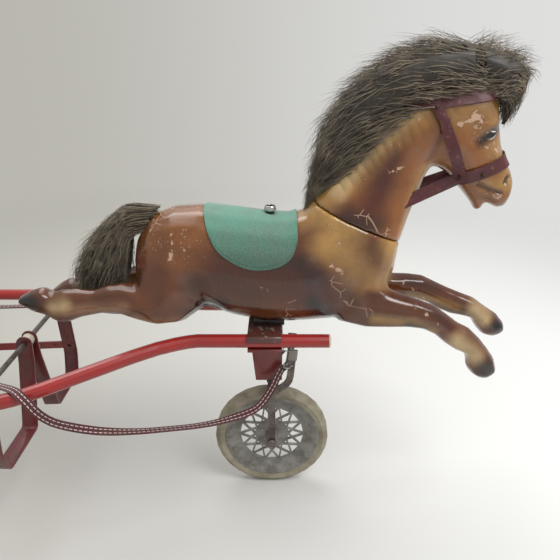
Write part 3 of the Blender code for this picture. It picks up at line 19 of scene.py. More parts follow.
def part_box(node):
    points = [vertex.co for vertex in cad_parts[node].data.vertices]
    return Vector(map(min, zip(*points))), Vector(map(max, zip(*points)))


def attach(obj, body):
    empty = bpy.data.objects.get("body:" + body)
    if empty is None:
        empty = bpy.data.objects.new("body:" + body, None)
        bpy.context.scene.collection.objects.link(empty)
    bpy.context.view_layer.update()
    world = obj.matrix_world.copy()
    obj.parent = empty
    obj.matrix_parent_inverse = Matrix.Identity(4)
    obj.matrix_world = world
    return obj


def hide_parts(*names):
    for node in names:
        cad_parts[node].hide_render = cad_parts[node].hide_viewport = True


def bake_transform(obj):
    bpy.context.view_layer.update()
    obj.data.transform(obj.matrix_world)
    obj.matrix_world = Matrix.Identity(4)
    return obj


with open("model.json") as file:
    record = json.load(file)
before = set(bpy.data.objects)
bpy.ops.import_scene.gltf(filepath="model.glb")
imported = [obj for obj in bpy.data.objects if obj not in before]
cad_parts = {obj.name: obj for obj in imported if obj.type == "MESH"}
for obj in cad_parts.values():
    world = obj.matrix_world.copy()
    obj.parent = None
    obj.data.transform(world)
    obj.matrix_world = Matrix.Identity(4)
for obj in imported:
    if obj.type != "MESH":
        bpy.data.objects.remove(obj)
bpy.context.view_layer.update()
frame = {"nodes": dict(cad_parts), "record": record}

NODES = frame["nodes"]
front_low, front_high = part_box("front_tyre")
AXLE_X = (front_low.x + front_high.x) / 2
print("frame", len(NODES), "nodes, front axle at x", round(AXLE_X, 6))

# %% [markdown]
# ## Where things are
# The whole toy is measured from the front axle's line, so a place is given from there
# and moved into the frame by one function. Sizes are in metres.

# %% Places and curves


def place(x, y, z):
    """A point measured from the front axle's line, in the frame."""
    return Vector((x + AXLE_X, y, z))


def smooth_path(points, per_span):
    """Points on a Catmull-Rom curve through the given ones, of any number of values each."""
    pts = [np.array(p, float) for p in points]
    pts = [2 * pts[0] - pts[1]] + pts + [2 * pts[-1] - pts[-2]]
    out = []
    for p0, p1, p2, p3 in zip(pts, pts[1:], pts[2:], pts[3:]):
        for i in range(per_span):
            t = i / per_span
            bend = (2 * p0 - 5 * p1 + 4 * p2 - p3) * t * t + (3 * p1 - p0 - 3 * p2 + p3) * t ** 3
            out.append(0.5 * (2 * p1 + (p2 - p0) * t + bend))
    out.append(pts[-2])
    return out


def soft_step(value):
    """0 below 0, 1 above 1, and smooth between."""
    t = np.clip(value, 0, 1)
    return t * t * (3 - 2 * t)


# %% [markdown]
# ## The camera
# A camera at the photograph's place and angle is made first. It looks down by 23 degrees from in front of
# the near side.

# %% Camera
camera = bpy.data.objects.new("camera", bpy.data.cameras.new("camera"))
bpy.context.scene.collection.objects.link(camera)
bpy.context.scene.camera = camera
camera.location = place(0.014, -0.781, 0.7115)
CAMERA_TILT = 23
camera.rotation_euler = (math.radians(90 - CAMERA_TILT), 0, 0)
camera.data.lens = 36
camera.data.sensor_width = 36
bpy.context.scene.view_settings.view_transform = "Standard"
print("camera at", [round(c, 4) for c in camera.location])

# %% [markdown]
# ## Tools for materials
# A material here is a small network of nodes. A thin wrapper keeps each network short:
# it adds a node, sets its plain values and joins sockets. Effects that several finishes
# share, such as chips and grime, become node groups that give out masks and heights.

# %% A wrapper for node networks


def colour(code):
    """A colour written as on paper, such as 8a5a24, in the linear values that nodes take."""
    channels = [int(code[i:i + 2], 16) / 255 for i in (0, 2, 4)]
    return tuple(c / 12.92 if c <= 0.04045 else ((c + 0.055) / 1.055) ** 2.4 for c in channels) + (1.0,)


class Wiring:
    """Adds nodes to a tree and joins them."""

    def __init__(self, tree):
        self.tree = tree

    def feed(self, value, socket):
        if isinstance(value, bpy.types.NodeSocket):
            self.tree.links.new(value, socket)
        else:
            socket.default_value = value

    def add(self, kind, inputs=None, **settings):
        node = self.tree.nodes.new("ShaderNode" + kind)
        for name, value in settings.items():
            setattr(node, name, value)
        for socket, value in (inputs or {}).items():
            self.feed(value, node.inputs[socket])
        return node

    def math(self, operation, first, second=0.0):
        return self.add("Math", {0: first, 1: second}, operation=operation).outputs[0]

    def mix(self, factor, first, second, blend="MIX"):
        node = self.add("Mix", data_type="RGBA", blend_type=blend)
        self.feed(factor, node.inputs[0])
        self.feed(first, node.inputs[6])
        self.feed(second, node.inputs[7])
        return node.outputs[2]

    def dim(self, shade, value):
        """A colour made darker or lighter by a value that changes over the surface."""
        grey = self.add("CombineColor", {0: value, 1: value, 2: value}).outputs[0]
        return self.mix(1.0, shade, grey, "MULTIPLY")

    def step(self, value, low, high, start=0.0, end=1.0):
        ends = {"Value": value, "From Min": low, "From Max": high, "To Min": start, "To Max": end}
        return self.add("MapRange", ends, interpolation_type="SMOOTHSTEP").outputs[0]

    def noise(self, where, scale, detail=3.0, roughness=0.55, distortion=0.0):
        inputs = {"Vector": where, "Scale": scale, "Detail": detail}
        inputs.update({"Roughness": roughness, "Distortion": distortion})
        return self.add("TexNoise", inputs).outputs[0]

    def group(self, tree, **inputs):
        node = self.tree.nodes.new("ShaderNodeGroup")
        node.node_tree = tree
        for name, value in inputs.items():
            self.feed(value, node.inputs[name.replace("_", " ")])
        return node.outputs


def shared_effect(title, inputs, outputs):
    """An empty node group with its sockets, ready to be wired."""
    tree = bpy.data.node_groups.new(title, "ShaderNodeTree")
    for name, kind, value in inputs:
        socket = tree.interface.new_socket(name, in_out="INPUT", socket_type="NodeSocket" + kind)
        if value is not None:
            socket.default_value = value
    for name, kind in outputs:
        tree.interface.new_socket(name, in_out="OUTPUT", socket_type="NodeSocket" + kind)
    inside = tree.nodes.new("NodeGroupInput").outputs
    outside = tree.nodes.new("NodeGroupOutput").inputs
    return Wiring(tree), inside, outside


# %% [markdown]
# ## Shared effects
# Chips are islands of a warped noise that pass a threshold; a zone raises or lowers it.
# Scratches are the same noise stretched along one axis. Grime is a slow stain, and grain
# is the fine unevenness that every real surface has.

# %% Shared effects
chip_inputs = (("Where", "Vector", None), ("Scale", "Float", 60.0), ("Amount", "Float", 0.1))
w, take, give = shared_effect("Chips", chip_inputs, (("Mask", "Float"), ("Rim", "Float")))
islands = w.noise(take["Where"], take["Scale"], 4.0, 0.62, 0.5)
edge = w.math("SUBTRACT", 0.86, take["Amount"])
w.feed(w.step(islands, edge, w.math("ADD", edge, 0.012)), give["Mask"])
w.feed(w.step(islands, w.math("SUBTRACT", edge, 0.02), edge), give["Rim"])
CHIPS = w.tree

scratch_inputs = (("Where", "Vector", None), ("Amount", "Float", 0.1))
w, take, give = shared_effect("Scratches", scratch_inputs, (("Mask", "Float"),))
across = w.add("Mapping", {"Vector": take["Where"], "Scale": (14.0, 300.0, 420.0)}).outputs[0]
streaks = w.noise(across, 1.0, 2.0, 0.5)
edge = w.math("SUBTRACT", 0.84, take["Amount"])
w.feed(w.step(streaks, edge, w.math("ADD", edge, 0.03)), give["Mask"])
SCRATCHES = w.tree

grime_inputs = (("Where", "Vector", None), ("Scale", "Float", 12.0))
w, take, give = shared_effect("Grime", grime_inputs, (("Mask", "Float"),))
slow = w.noise(take["Where"], take["Scale"], 5.0, 0.65)
w.feed(w.step(slow, 0.36, 0.70), give["Mask"])
GRIME = w.tree

grain_inputs = (("Where", "Vector", None), ("Scale", "Float", 900.0))
w, take, give = shared_effect("Grain", grain_inputs, (("Height", "Float"),))
w.feed(w.noise(take["Where"], take["Scale"], 3.0, 0.6), give["Height"])
GRAIN = w.tree
print("shared effects", [g.name for g in bpy.data.node_groups])

# %% [markdown]
# ## Ways to start a material
# Each finish below starts with a Principled shader whose constant values are set on its
# own sockets, and then wires the colours and masks that change over the surface.

# %% Starting a material


def start_material(name, **constants):
    """A new material, its wiring, its Principled shader and the object's own coordinates."""
    material = bpy.data.materials.new(name)
    material.use_nodes = True
    tree = material.node_tree
    wiring = Wiring(tree)
    shader = tree.nodes["Principled BSDF"]
    for socket, value in constants.items():
        shader.inputs[socket.replace("_", " ")].default_value = value
    where = wiring.add("TexCoord").outputs["Object"]
    return material, wiring, shader, where


def add_bump(wiring, shader, height, distance, strength=1.0):
    bump = wiring.add("Bump", {"Height": height, "Distance": distance, "Strength": strength})
    wiring.feed(bump.outputs[0], shader.inputs["Normal"])


def enamel(name, paint, deep, under, chips=0.14, scratches=0.05, grime=0.35, rough=0.28, chip_scale=70.0):
    """Old stove enamel on steel: faded, scratched, chipped down to dark metal, dirty in patches."""
    material, w, shader, where = start_material(name, Coat_Roughness=0.12, Specular_IOR_Level=0.5)
    shade = w.mix(w.noise(where, 9.0, 4.0), colour(deep), colour(paint))
    dirt = w.math("MULTIPLY", w.group(GRIME, Where=where, Scale=26.0)["Mask"], grime)
    dirty = w.mix(dirt, shade, colour("3a2420"))
    lines = w.group(SCRATCHES, Where=where, Amount=scratches)["Mask"]
    lined = w.mix(w.math("MULTIPLY", lines, 0.55), dirty, colour("7a5a50"))
    chipped = w.group(CHIPS, Where=where, Scale=chip_scale, Amount=chips)
    rimmed = w.mix(w.math("MULTIPLY", chipped["Rim"], 0.5), lined, colour("2a1512"))
    w.feed(w.mix(chipped["Mask"], rimmed, colour(under)), shader.inputs["Base Color"])
    worn = w.math("ADD", w.math("MULTIPLY", chipped["Mask"], 0.35), w.math("MULTIPLY", dirt, 0.3))
    w.feed(w.math("ADD", worn, rough), shader.inputs["Roughness"])
    w.feed(w.math("SUBTRACT", 0.5, w.math("MULTIPLY", chipped["Mask"], 0.5)), shader.inputs["Coat Weight"])
    grain = w.group(GRAIN, Where=where, Scale=700.0)["Height"]
    height = w.math("SUBTRACT", w.math("MULTIPLY", grain, 0.12), chipped["Mask"])
    add_bump(w, shader, height, 0.00012)
    return material


def bare_metal(name, bright, stain, metallic, rough, pitting=0.25, grain_scale=900.0, stain_scale=30.0):
    """Bare or plated metal with stains that dull it and a fine grain."""
    material, w, shader, where = start_material(name, Metallic=metallic, Specular_IOR_Level=0.5)
    stained = w.group(GRIME, Where=where, Scale=stain_scale)["Mask"]
    dulled = w.mix(w.math("MULTIPLY", stained, 0.75), colour(bright), colour(stain))
    w.feed(dulled, shader.inputs["Base Color"])
    grain = w.group(GRAIN, Where=where, Scale=grain_scale)["Height"]
    spots = w.group(CHIPS, Where=where, Scale=240.0, Amount=pitting)["Mask"]
    dull = w.math("MULTIPLY", w.math("ADD", stained, spots), 0.22)
    w.feed(w.math("ADD", dull, rough), shader.inputs["Roughness"])
    add_bump(w, shader, w.math("SUBTRACT", grain, spots), 0.00008)
    return material


def moulded(name, plain, stain, rough, grime=0.5, bump=0.00006):
    """Plastic or rubber that has yellowed, with dirt in patches and a fine skin."""
    material, w, shader, where = start_material(name)
    dirt = w.math("MULTIPLY", w.group(GRIME, Where=where, Scale=34.0)["Mask"], grime)
    specks = w.math("MULTIPLY", w.group(CHIPS, Where=where, Scale=300.0, Amount=0.2)["Mask"], 0.5)
    w.feed(w.mix(w.math("MAXIMUM", dirt, specks), colour(plain), colour(stain)), shader.inputs["Base Color"])
    w.feed(w.math("ADD", w.math("MULTIPLY", dirt, 0.2), rough), shader.inputs["Roughness"])
    add_bump(w, shader, w.group(GRAIN, Where=where, Scale=1100.0)["Height"], bump)
    return material


# %% [markdown]
# ## The finishes of the metal and plastic pieces
# The red of the shafts is the freshest. The clamp has lost most of its paint to brown rust,
# and the pedals are rubbed by feet. The front wheel is an unpainted grey casting.

# %% Finishes of the hard pieces
ENAMELS = {
    "shaft_enamel": ("a5231f", "8c1c1a", "4a2a22", dict(chips=0.10, scratches=0.06, grime=0.25)),
    "bracket_enamel": ("7a1c19", "5c1512", "30201c", dict(chips=0.20, grime=0.45, rough=0.34)),
    "clamp_worn_paint": ("5a3028", "45241e", "6e5a4e", dict(chips=0.30, grime=0.6, rough=0.42)),
    "pedal_enamel": ("6e1a1c", "541416", "4c342a", dict(chips=0.22, grime=0.5, rough=0.36)),
    "connecting_rod_enamel": ("92211f", "771a19", "3c2620", dict(chips=0.18, grime=0.4)),
    "seat_enamel": ("9c2420", "841d1b", "46302a", dict(chips=0.16, scratches=0.12, grime=0.3)),
    "black_steel": ("1a1614", "120e0c", "40352e", dict(chips=0.14, grime=0.3, rough=0.4)),
}
METALS = {
    "bolt_steel": ("5a5550", "3a2c24", 0.85, 0.38, 0.32),
    "fork_steel": ("77706a", "4d4038", 0.75, 0.40, 0.30),
    "rod_steel": ("6c6560", "40332c", 0.8, 0.42, 0.34),
    "chrome": ("c9c9c8", "9a9894", 1.0, 0.12, 0.18),
    "wheel_casting": ("8e8c86", "5e5a53", 0.35, 0.52, 0.30, 700.0, 45.0),
}
MOULDED = {
    "cream_plastic": ("c9bfae", "8c7c66", 0.45),
    "grey_sleeve": ("8b8680", "5f5850", 0.5),
    "tyre_rubber": ("9b9480", "6e6553", 0.62, 0.75, 0.00015),
}
FINISH = {}
for name, (paint, deep, under, wear) in ENAMELS.items():
    FINISH[name] = enamel(name, paint, deep, under, **wear)
FINISH.update({name: bare_metal(name, *values) for name, values in METALS.items()})
FINISH.update({name: moulded(name, *values) for name, values in MOULDED.items()})
print("finishes", len(FINISH))

# %% [markdown]
# ## Tools for meshes
# A copy of a frame mesh is merged first, because the frame keeps loose triangles. A grid
# laid by a rule makes straps and cloth, and a ray cast onto the horse finds where they lie.

# %% Mesh tools


def as_piece(name, mesh, body, slot, material, *replaced):
    """Links a mesh or curve as a piece that rides on a body and stands for the named nodes."""
    piece = bpy.data.objects.new(name, mesh)
    bpy.context.scene.collection.objects.link(piece)
    mesh.materials.clear()
    mesh.materials.append(material)
    if replaced:
        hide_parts(*replaced)
    if body:
        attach(piece, body)
    return piece


def finished(bm, name, sharp=35.0):
    """Turns a bmesh into a smoothly shaded mesh whose faces point outwards."""
    bmesh.ops.recalc_face_normals(bm, faces=bm.faces)
    mesh = bpy.data.meshes.new(name)
    bm.to_mesh(mesh)
    bm.free()
    mesh.shade_smooth()
    mesh.set_sharp_from_angle(angle=math.radians(sharp))
    return mesh


def merged_copy(node):
    """A bmesh of a frame node with its loose triangles joined."""
    bm = bmesh.new()
    bm.from_mesh(NODES[node].data)
    bmesh.ops.remove_doubles(bm, verts=bm.verts, dist=0.00001)
    return bm


def with_modifiers(name, mesh, *steps):
    """The mesh that the given modifiers leave; each step is a kind and its settings."""
    holder = bpy.data.objects.new(name + "_work", mesh)
    bpy.context.scene.collection.objects.link(holder)
    for kind, settings in steps:
        modifier = holder.modifiers.new(kind.lower(), kind)
        for key, value in settings.items():
            setattr(modifier, key, value)
    depsgraph = bpy.context.evaluated_depsgraph_get()
    made = bpy.data.meshes.new_from_object(holder.evaluated_get(depsgraph))
    bpy.data.objects.remove(holder)
    made.name = name
    made.shade_smooth()
    return made


def even_out(bm, verts, times):
    """Moves points towards the middle of their neighbours, a few times over."""
    for _ in range(times):
        bmesh.ops.smooth_vert(bm, verts=verts, factor=0.5, use_axis_x=True, use_axis_y=True, use_axis_z=True)


def on_line(points, arcs, reach):
    """The point at a length along a row of points."""
    return Vector([float(np.interp(reach, arcs, points[:, i])) for i in range(3)])


def laid_grid(name, columns, rows, rule):
    """A grid whose points lie where rule(u, v) says, u along it and v across it, both kept as a map."""
    bm = bmesh.new()
    flat = bm.loops.layers.uv.new("flat")
    bmesh.ops.create_grid(bm, x_segments=columns, y_segments=rows, size=0.5)
    for face in bm.faces:
        for loop in face.loops:
            loop[flat].uv = (loop.vert.co.x + 0.5, loop.vert.co.y + 0.5)
    for vert in bm.verts:
        vert.co = rule(vert.co.x + 0.5, vert.co.y + 0.5)
    mesh = bpy.data.meshes.new(name)
    bm.to_mesh(mesh)
    bm.free()
    return mesh


# %% [markdown]
# ## The reins
# One webbing strap runs from the right steering ring back over the shaft, past the pedals and the seat, over
# the top of the back panel and forwards again to the left ring. It is limp, so it sags between the places
# that hold it. The route is a given list.

# %% The reins' route
RIGHT_REIN = (
    (0.0172, -0.0271, 0.2422), (0.0110, -0.0320, 0.2320), (0.0010, -0.0390, 0.2120),
    (-0.0180, -0.0520, 0.1890), (-0.0400, -0.0630, 0.1815), (-0.0700, -0.0750, 0.1800),
    (-0.1100, -0.0920, 0.1840), (-0.1500, -0.1090, 0.1915), (-0.1900, -0.1270, 0.2010),
    (-0.2300, -0.1450, 0.2140), (-0.2620, -0.1600, 0.2290), (-0.2860, -0.1740, 0.2480),
    (-0.3020, -0.1800, 0.2680), (-0.3160, -0.1770, 0.2880), (-0.3330, -0.1650, 0.2950),
    (-0.3580, -0.1470, 0.2900), (-0.3880, -0.1320, 0.2848),
)
LEFT_REIN = (
    (0.0172, 0.0271, 0.2422), (0.0110, 0.0320, 0.2320), (0.0020, 0.0410, 0.2165),
    (-0.0050, 0.0590, 0.2120), (-0.0120, 0.0790, 0.2260), (-0.0180, 0.0880, 0.2540),
    (-0.0235, 0.0890, 0.2830), (-0.0310, 0.0860, 0.3080), (-0.0430, 0.0760, 0.3250),
    (-0.0600, 0.0650, 0.3260), (-0.0780, 0.0560, 0.3230), (-0.1050, 0.0500, 0.3195),
    (-0.1400, 0.0550, 0.3100), (-0.1900, 0.0640, 0.2990), (-0.2400, 0.0770, 0.2905),
    (-0.2900, 0.0910, 0.2860), (-0.3400, 0.1040, 0.2850), (-0.3880, 0.1160, 0.2848),
)
REAR_REIN = (
    (-0.4450, 0.1190, 0.2815), (-0.5000, 0.1120, 0.2840), (-0.5600, 0.1045, 0.2935),
    (-0.6200, 0.0975, 0.3090), (-0.6800, 0.0910, 0.3310), (-0.7400, 0.0850, 0.3590),
    (-0.8000, 0.0795, 0.3930), (-0.8500, 0.0755, 0.4265), (-0.8850, 0.0722, 0.4560),
    (-0.8988, 0.0709, 0.4700), (-0.9085, 0.0700, 0.4748), (-0.9186, 0.0690, 0.4706),
    (-0.9225, 0.0675, 0.4600), (-0.9220, 0.0620, 0.4470), (-0.9210, 0.0480, 0.4330),
    (-0.9200, 0.0250, 0.4250),
)
# How far the strap stands on its edge at each point in front of the pedals: 0 flat, 1 on edge.
RIGHT_EDGE = (1, 1, 1, 0.9, 0.6, 0.2, 0, 0, 0.1, 0.35, 0.6, 0.7, 0.6, 0.3, 0.1, 0, 0)
LEFT_EDGE = (1, 1, 1, 1, 1, 1, 1, 0.9, 0.45, 0.1, 0, 0, 0, 0, 0, 0, 0, 0)
REIN_WIDTH = 0.012
REIN_THICK = 0.0016
PANEL_X = -0.9085


def facing(x, edge, side):
    """The direction in which the strap's flat side looks, before it is squared to the route."""
    flat = Vector((0, 0, 1)).lerp(Vector((0, side, 0)), edge)
    behind = soft_step((PANEL_X + 0.004 - x) / 0.012)
    return flat.lerp(Vector((-1, 0, 0)), float(behind))


def rein_knots():
    """The route's points, each with its facing, from the right ring round to the left ring."""
    right = [p + tuple(facing(p[0], e, -1)) for p, e in zip(RIGHT_REIN, RIGHT_EDGE)]
    rear = [p + tuple(facing(p[0], 0, 1)) for p in REAR_REIN]
    left = [p + tuple(facing(p[0], e, 1)) for p, e in zip(LEFT_REIN, LEFT_EDGE)]
    rear_right = [(p[0], -p[1], p[2]) + p[3:] for p in rear]
    return right + rear_right + rear[::-1] + left[::-1]


rein_curve = np.array(smooth_path(rein_knots(), 12))
rein_curve[:, 0] += AXLE_X
rein_steps = np.linalg.norm(np.diff(rein_curve[:, :3], axis=0), axis=1)
rein_along = np.concatenate(([0], np.cumsum(rein_steps)))
REIN_LENGTH = float(rein_along[-1])

# %% [markdown]
# The strap is a grid laid along the route, six faces wide, then given its thickness. The
# pattern needs to follow the strap, so its map holds metres along and a share across.

# %% The strap
REIN_COLUMNS = 640
REIN_ROWS = 6
# The strap is thinner than the space kept for it, so it settles onto what it lies on.
REIN_SETTLE = 0.0030
SETTLE_FROM = 0.08


def on_strap(u, v):
    """The strap's point at share u along the route and share v across it."""
    reach = u * REIN_LENGTH
    at = np.array([np.interp(reach, rein_along, rein_curve[:, i]) for i in range(6)])
    ahead = np.array([np.interp(reach + 0.002, rein_along, rein_curve[:, i]) for i in range(3)])
    behind = np.array([np.interp(reach - 0.002, rein_along, rein_curve[:, i]) for i in range(3)])
    along = Vector(ahead - behind).normalized()
    look = Vector(at[3:6])
    look = (look - look.dot(along) * along).normalized()
    across = along.cross(look)
    settle = float(soft_step((min(reach, REIN_LENGTH - reach) - SETTLE_FROM) / SETTLE_FROM))
    return Vector(at[:3]) + across * (v - 0.5) * REIN_WIDTH - look * settle * REIN_SETTLE


strap = laid_grid("reins", REIN_COLUMNS, REIN_ROWS, on_strap)
strap = with_modifiers("reins", strap,
                       ("SOLIDIFY", {"thickness": REIN_THICK, "offset": 0.0, "use_rim": True}))
strap.set_sharp_from_angle(angle=math.radians(40))
print("strap", len(strap.polygons), "faces")

# %% [markdown]
# The webbing is a maroon twill with two rows of pale stitches. Both patterns come from the
# map: the weave is two crossed waves, and a stitch is a dash on a line across the strap.

# %% The webbing's material
webbing, w, shader, where = start_material("rein_webbing", Sheen_Weight=0.25, Sheen_Roughness=0.5)
flat = w.add("UVMap", uv_map="flat").outputs[0]
parts = w.add("SeparateXYZ", {0: flat}).outputs
along = w.math("MULTIPLY", parts[0], REIN_LENGTH)
diagonal = w.math("ADD", w.math("MULTIPLY", along, 1400.0), w.math("MULTIPLY", parts[1], 26.0))
crossing = w.math("SUBTRACT", w.math("MULTIPLY", along, 1400.0), w.math("MULTIPLY", parts[1], 26.0))
weave = w.math("MULTIPLY", w.math("SINE", diagonal), w.math("SINE", crossing))
row = w.math("ABSOLUTE", w.math("SUBTRACT", w.math("ABSOLUTE", w.math("SUBTRACT", parts[1], 0.5)), 0.22))
on_row = w.step(row, 0.065, 0.035)
dash = w.step(w.math("FRACT", w.math("MULTIPLY", along, 150.0)), 0.28, 0.36)
stitch = w.math("MULTIPLY", on_row, dash)
cloth = w.mix(w.step(weave, -0.6, 0.8), colour("2c0d12"), colour("5e1c26"))
dirt = w.math("MULTIPLY", w.group(GRIME, Where=where, Scale=40.0)["Mask"], 0.45)
faded = w.mix(dirt, cloth, colour("4a3a36"))
w.feed(w.mix(stitch, faded, colour("cdb4ac")), shader.inputs["Base Color"])
w.feed(w.math("ADD", w.math("MULTIPLY", stitch, -0.15), 0.78), shader.inputs["Roughness"])
add_bump(w, shader, w.math("ADD", w.math("MULTIPLY", weave, 0.4), stitch), 0.0003)

REIN_NODES = ("rein_front_right", "rein_loop", "rein_front_left")
reins = as_piece("reins", strap, None, "rein_webbing", webbing, *REIN_NODES)
ring_low, ring_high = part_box("rein_ring_right")
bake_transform(reins)
print("ring", [round(c, 4) for c in (ring_low + ring_high) / 2])

# %% [markdown]
# ## The stage
# A plain pale floor fades into the world's colour, so no horizon shows. Both carry painted light: they are
# painted a little darker on the left and lighter on the right, as a window on the right would light them.

# %% Floor and world
FLOOR_REACH = 6.0
PAINTED_SHADE_LEFT = "b9b7af"
PAINTED_LIGHT_RIGHT = "dfdfde"


def pale_with_painted_light(w, sideways, low, high):
    """The background's colour with painted light in it: darker on the left, lighter on the right."""
    return w.mix(w.step(sideways, low, high), colour(PAINTED_SHADE_LEFT), colour(PAINTED_LIGHT_RIGHT))


bm = bmesh.new()
bmesh.ops.create_circle(bm, cap_ends=True, segments=64, radius=FLOOR_REACH)
floor_mesh = bpy.data.meshes.new("floor")
bm.to_mesh(floor_mesh)
bm.free()
floor = bpy.data.objects.new("floor", floor_mesh)
bpy.context.scene.collection.objects.link(floor)
floor_paint, w, shader, where = start_material("floor", Roughness=0.9, Specular_IOR_Level=0.1)
spot = w.add("SeparateXYZ", {0: where}).outputs
# Painted light: the floor is painted darker on the left and lighter on the right.
w.feed(pale_with_painted_light(w, spot[0], -0.7, 1.1), shader.inputs["Base Color"])
far = w.step(w.add("VectorMath", {0: where}, operation="LENGTH").outputs["Value"], 1.0, 2.4)
clear = w.add("BsdfTransparent").outputs[0]
blended = w.add("MixShader", {0: far, 1: shader.outputs[0], 2: clear}).outputs[0]
w.feed(blended, floor_paint.node_tree.nodes["Material Output"].inputs["Surface"])
floor_mesh.materials.append(floor_paint)

world = bpy.data.worlds.new("room")
bpy.context.scene.world = world
world.use_nodes = True
w = Wiring(world.node_tree)
WORLD_LIGHT = 0.62
toward = w.add("SeparateXYZ", {0: w.add("TexCoord").outputs["Generated"]}).outputs
# Painted light: the backdrop seen by the camera is painted darker on the left and lighter on the right.
backdrop_with_painted_light = w.add("Background", {"Color": pale_with_painted_light(w, toward[0], -0.45, 0.45), "Strength": 1.0}).outputs[0]
light = w.add("Background", {"Color": colour("f4f4f2"), "Strength": WORLD_LIGHT}).outputs[0]
rays = w.add("LightPath").outputs
seen = w.math("MAXIMUM", rays["Is Camera Ray"], rays["Is Transmission Ray"])
both = w.add("MixShader", {0: seen, 1: light, 2: backdrop_with_painted_light}).outputs[0]
w.feed(both, world.node_tree.nodes["World Output"].inputs["Surface"])
print("stage ready")

# %% [markdown]
# ## The lights
# One large soft lamp stands high on the right and in front, as the window does, and a
# second, weaker one lifts the far side. They are sized so that a colour looks as written.

# %% Lights


def soft_lamp(name, at, aim, size, power):
    lamp = bpy.data.lights.new(name, "AREA")
    lamp.shape = "DISK"
    lamp.size = size
    lamp.energy = power
    holder = bpy.data.objects.new(name, lamp)
    bpy.context.scene.collection.objects.link(holder)
    holder.location = at
    holder.rotation_euler = (aim - at).to_track_quat("-Z", "Y").to_euler()
    return holder


MIDDLE = place(0.0, 0.0, 0.4)
soft_lamp("window", place(1.1, -0.7, 2.1), MIDDLE, 1.5, 42.0)
soft_lamp("ceiling", place(-0.5, 0.9, 2.2), MIDDLE, 1.8, 22.0)

# %% [markdown]
# ## The horse
# The horse is two mouldings that meet at a seam on the neck. The frame's solids give their
# true size and place. A copy is remeshed evenly, smoothed, and then worked like clay: each
# stroke is a line in the side view, a reach and a depth, and pushes the skin in or out.

# %% Clay tools
VOXEL = 0.0026
MOULDING_PASSES = 7


class Skin:
    """The points and outward directions of a moulding as arrays, so that a stroke is quick."""

    def __init__(self, mesh):
        self.mesh = mesh
        self.count = len(mesh.vertices)
        self.points = np.empty(self.count * 3, np.float32)
        mesh.vertices.foreach_get("co", self.points)
        self.points = self.points.reshape(-1, 3).astype(float)
        self.look()

    def look(self):
        """Reads the outward directions again after the points have moved."""
        self.mesh.vertices.foreach_set("co", self.points.astype(np.float32).ravel())
        self.mesh.update()
        normals = np.empty(self.count * 3, np.float32)
        self.mesh.vertex_normals.foreach_get("vector", normals)
        self.normals = normals.reshape(-1, 3).astype(float)

    def near(self, line, side=0):
        """Each point's distance from a bent line in the side view; side is -1 near, 1 far, 0 both."""
        x, z = self.points[:, 0] - AXLE_X, self.points[:, 2]
        line = list(line) if len(line) > 1 else [line[0], line[0]]
        best = np.full(self.count, 9.0)
        for (ax, az), (bx, bz) in zip(line, line[1:]):
            dx, dz = bx - ax, bz - az
            share = np.clip(((x - ax) * dx + (z - az) * dz) / max(dx * dx + dz * dz, 1e-12), 0, 1)
            best = np.minimum(best, np.hypot(x - ax - share * dx, z - az - share * dz))
        if side:
            best = np.where(self.points[:, 1] * side > 0, best, 9.0)
        return best

    def push(self, line, reach, depth, side=0):
        """Presses the flanks in by depth along a line, or swells them where depth is negative."""
        flank = soft_step((np.abs(self.normals[:, 1]) - 0.2) / 0.4)
        share = soft_step(1 - self.near(line, side) / reach)
        self.points -= self.normals * (share * flank * depth)[:, None]


def moulding(node):
    """An even, smooth mesh of a moulding, ready to be worked."""
    bm = merged_copy(node)
    raw = bpy.data.meshes.new(node)
    bm.to_mesh(raw)
    bm.free()
    even = with_modifiers(node, raw, ("REMESH", {"mode": "VOXEL", "voxel_size": VOXEL}))
    bm = bmesh.new()
    bm.from_mesh(even)
    even_out(bm, bm.verts, MOULDING_PASSES)
    bm.to_mesh(even)
    bm.free()
    return Skin(even)


body = moulding("horse_body")
head = moulding("horse_neck_head")
print("mouldings", body.count, "and", head.count, "points")

# %% [markdown]
# The strokes follow a galloping horse's own forms: the stifle fold in front of the thigh,
# the line behind the shoulder, the gaskin and forearm muscles, and the jaw, the nostril
# and the line of the mouth. Grooves under the mane are where the moulding was combed.

# %% Working the clay
BODY_FORMS = (
    (((-0.108, 0.405), (-0.098, 0.372), (-0.082, 0.352)), 0.022, 0.0045),
    (((-0.150, 0.430), (-0.140, 0.390)), 0.030, -0.0030),
    (((0.062, 0.430), (0.072, 0.395), (0.084, 0.360)), 0.016, 0.0025),
    (((0.110, 0.410), (0.130, 0.385)), 0.026, -0.0030),
    (((0.150, 0.372), (0.200, 0.362)), 0.010, -0.0012),
    (((0.142, 0.352), (0.190, 0.346)), 0.006, 0.0014),
    (((-0.205, 0.382), (-0.255, 0.376)), 0.006, 0.0012),
    (((-0.050, 0.352), (0.020, 0.344)), 0.012, 0.0012),
)
HEAD_FORMS = (
    (((0.229, 0.613), (0.220, 0.594), (0.213, 0.568)), 0.007, 0.0016),
    (((0.250, 0.592), (0.240, 0.572)), 0.020, -0.0022),
    (((0.270, 0.592), (0.291, 0.601), (0.306, 0.604)), 0.011, 0.0022),
    (((0.280, 0.612), (0.300, 0.616)), 0.007, -0.0014),
    (((0.300, 0.575), (0.322, 0.556)), 0.010, -0.0012),
    (((0.323, 0.534), (0.326, 0.541)), 0.0055, 0.0034),
    (((0.285, 0.533), (0.305, 0.523), (0.318, 0.520)), 0.0050, 0.0036),
    (((0.160, 0.500), (0.195, 0.560)), 0.026, 0.0014),
    (((0.110, 0.520), (0.150, 0.570), (0.190, 0.610)), 0.030, -0.0014),
)
for line, reach, depth in BODY_FORMS:
    body.push(line, reach, depth)
for line, reach, depth in HEAD_FORMS:
    head.push(line, reach, depth)
COMB_TEETH = 15
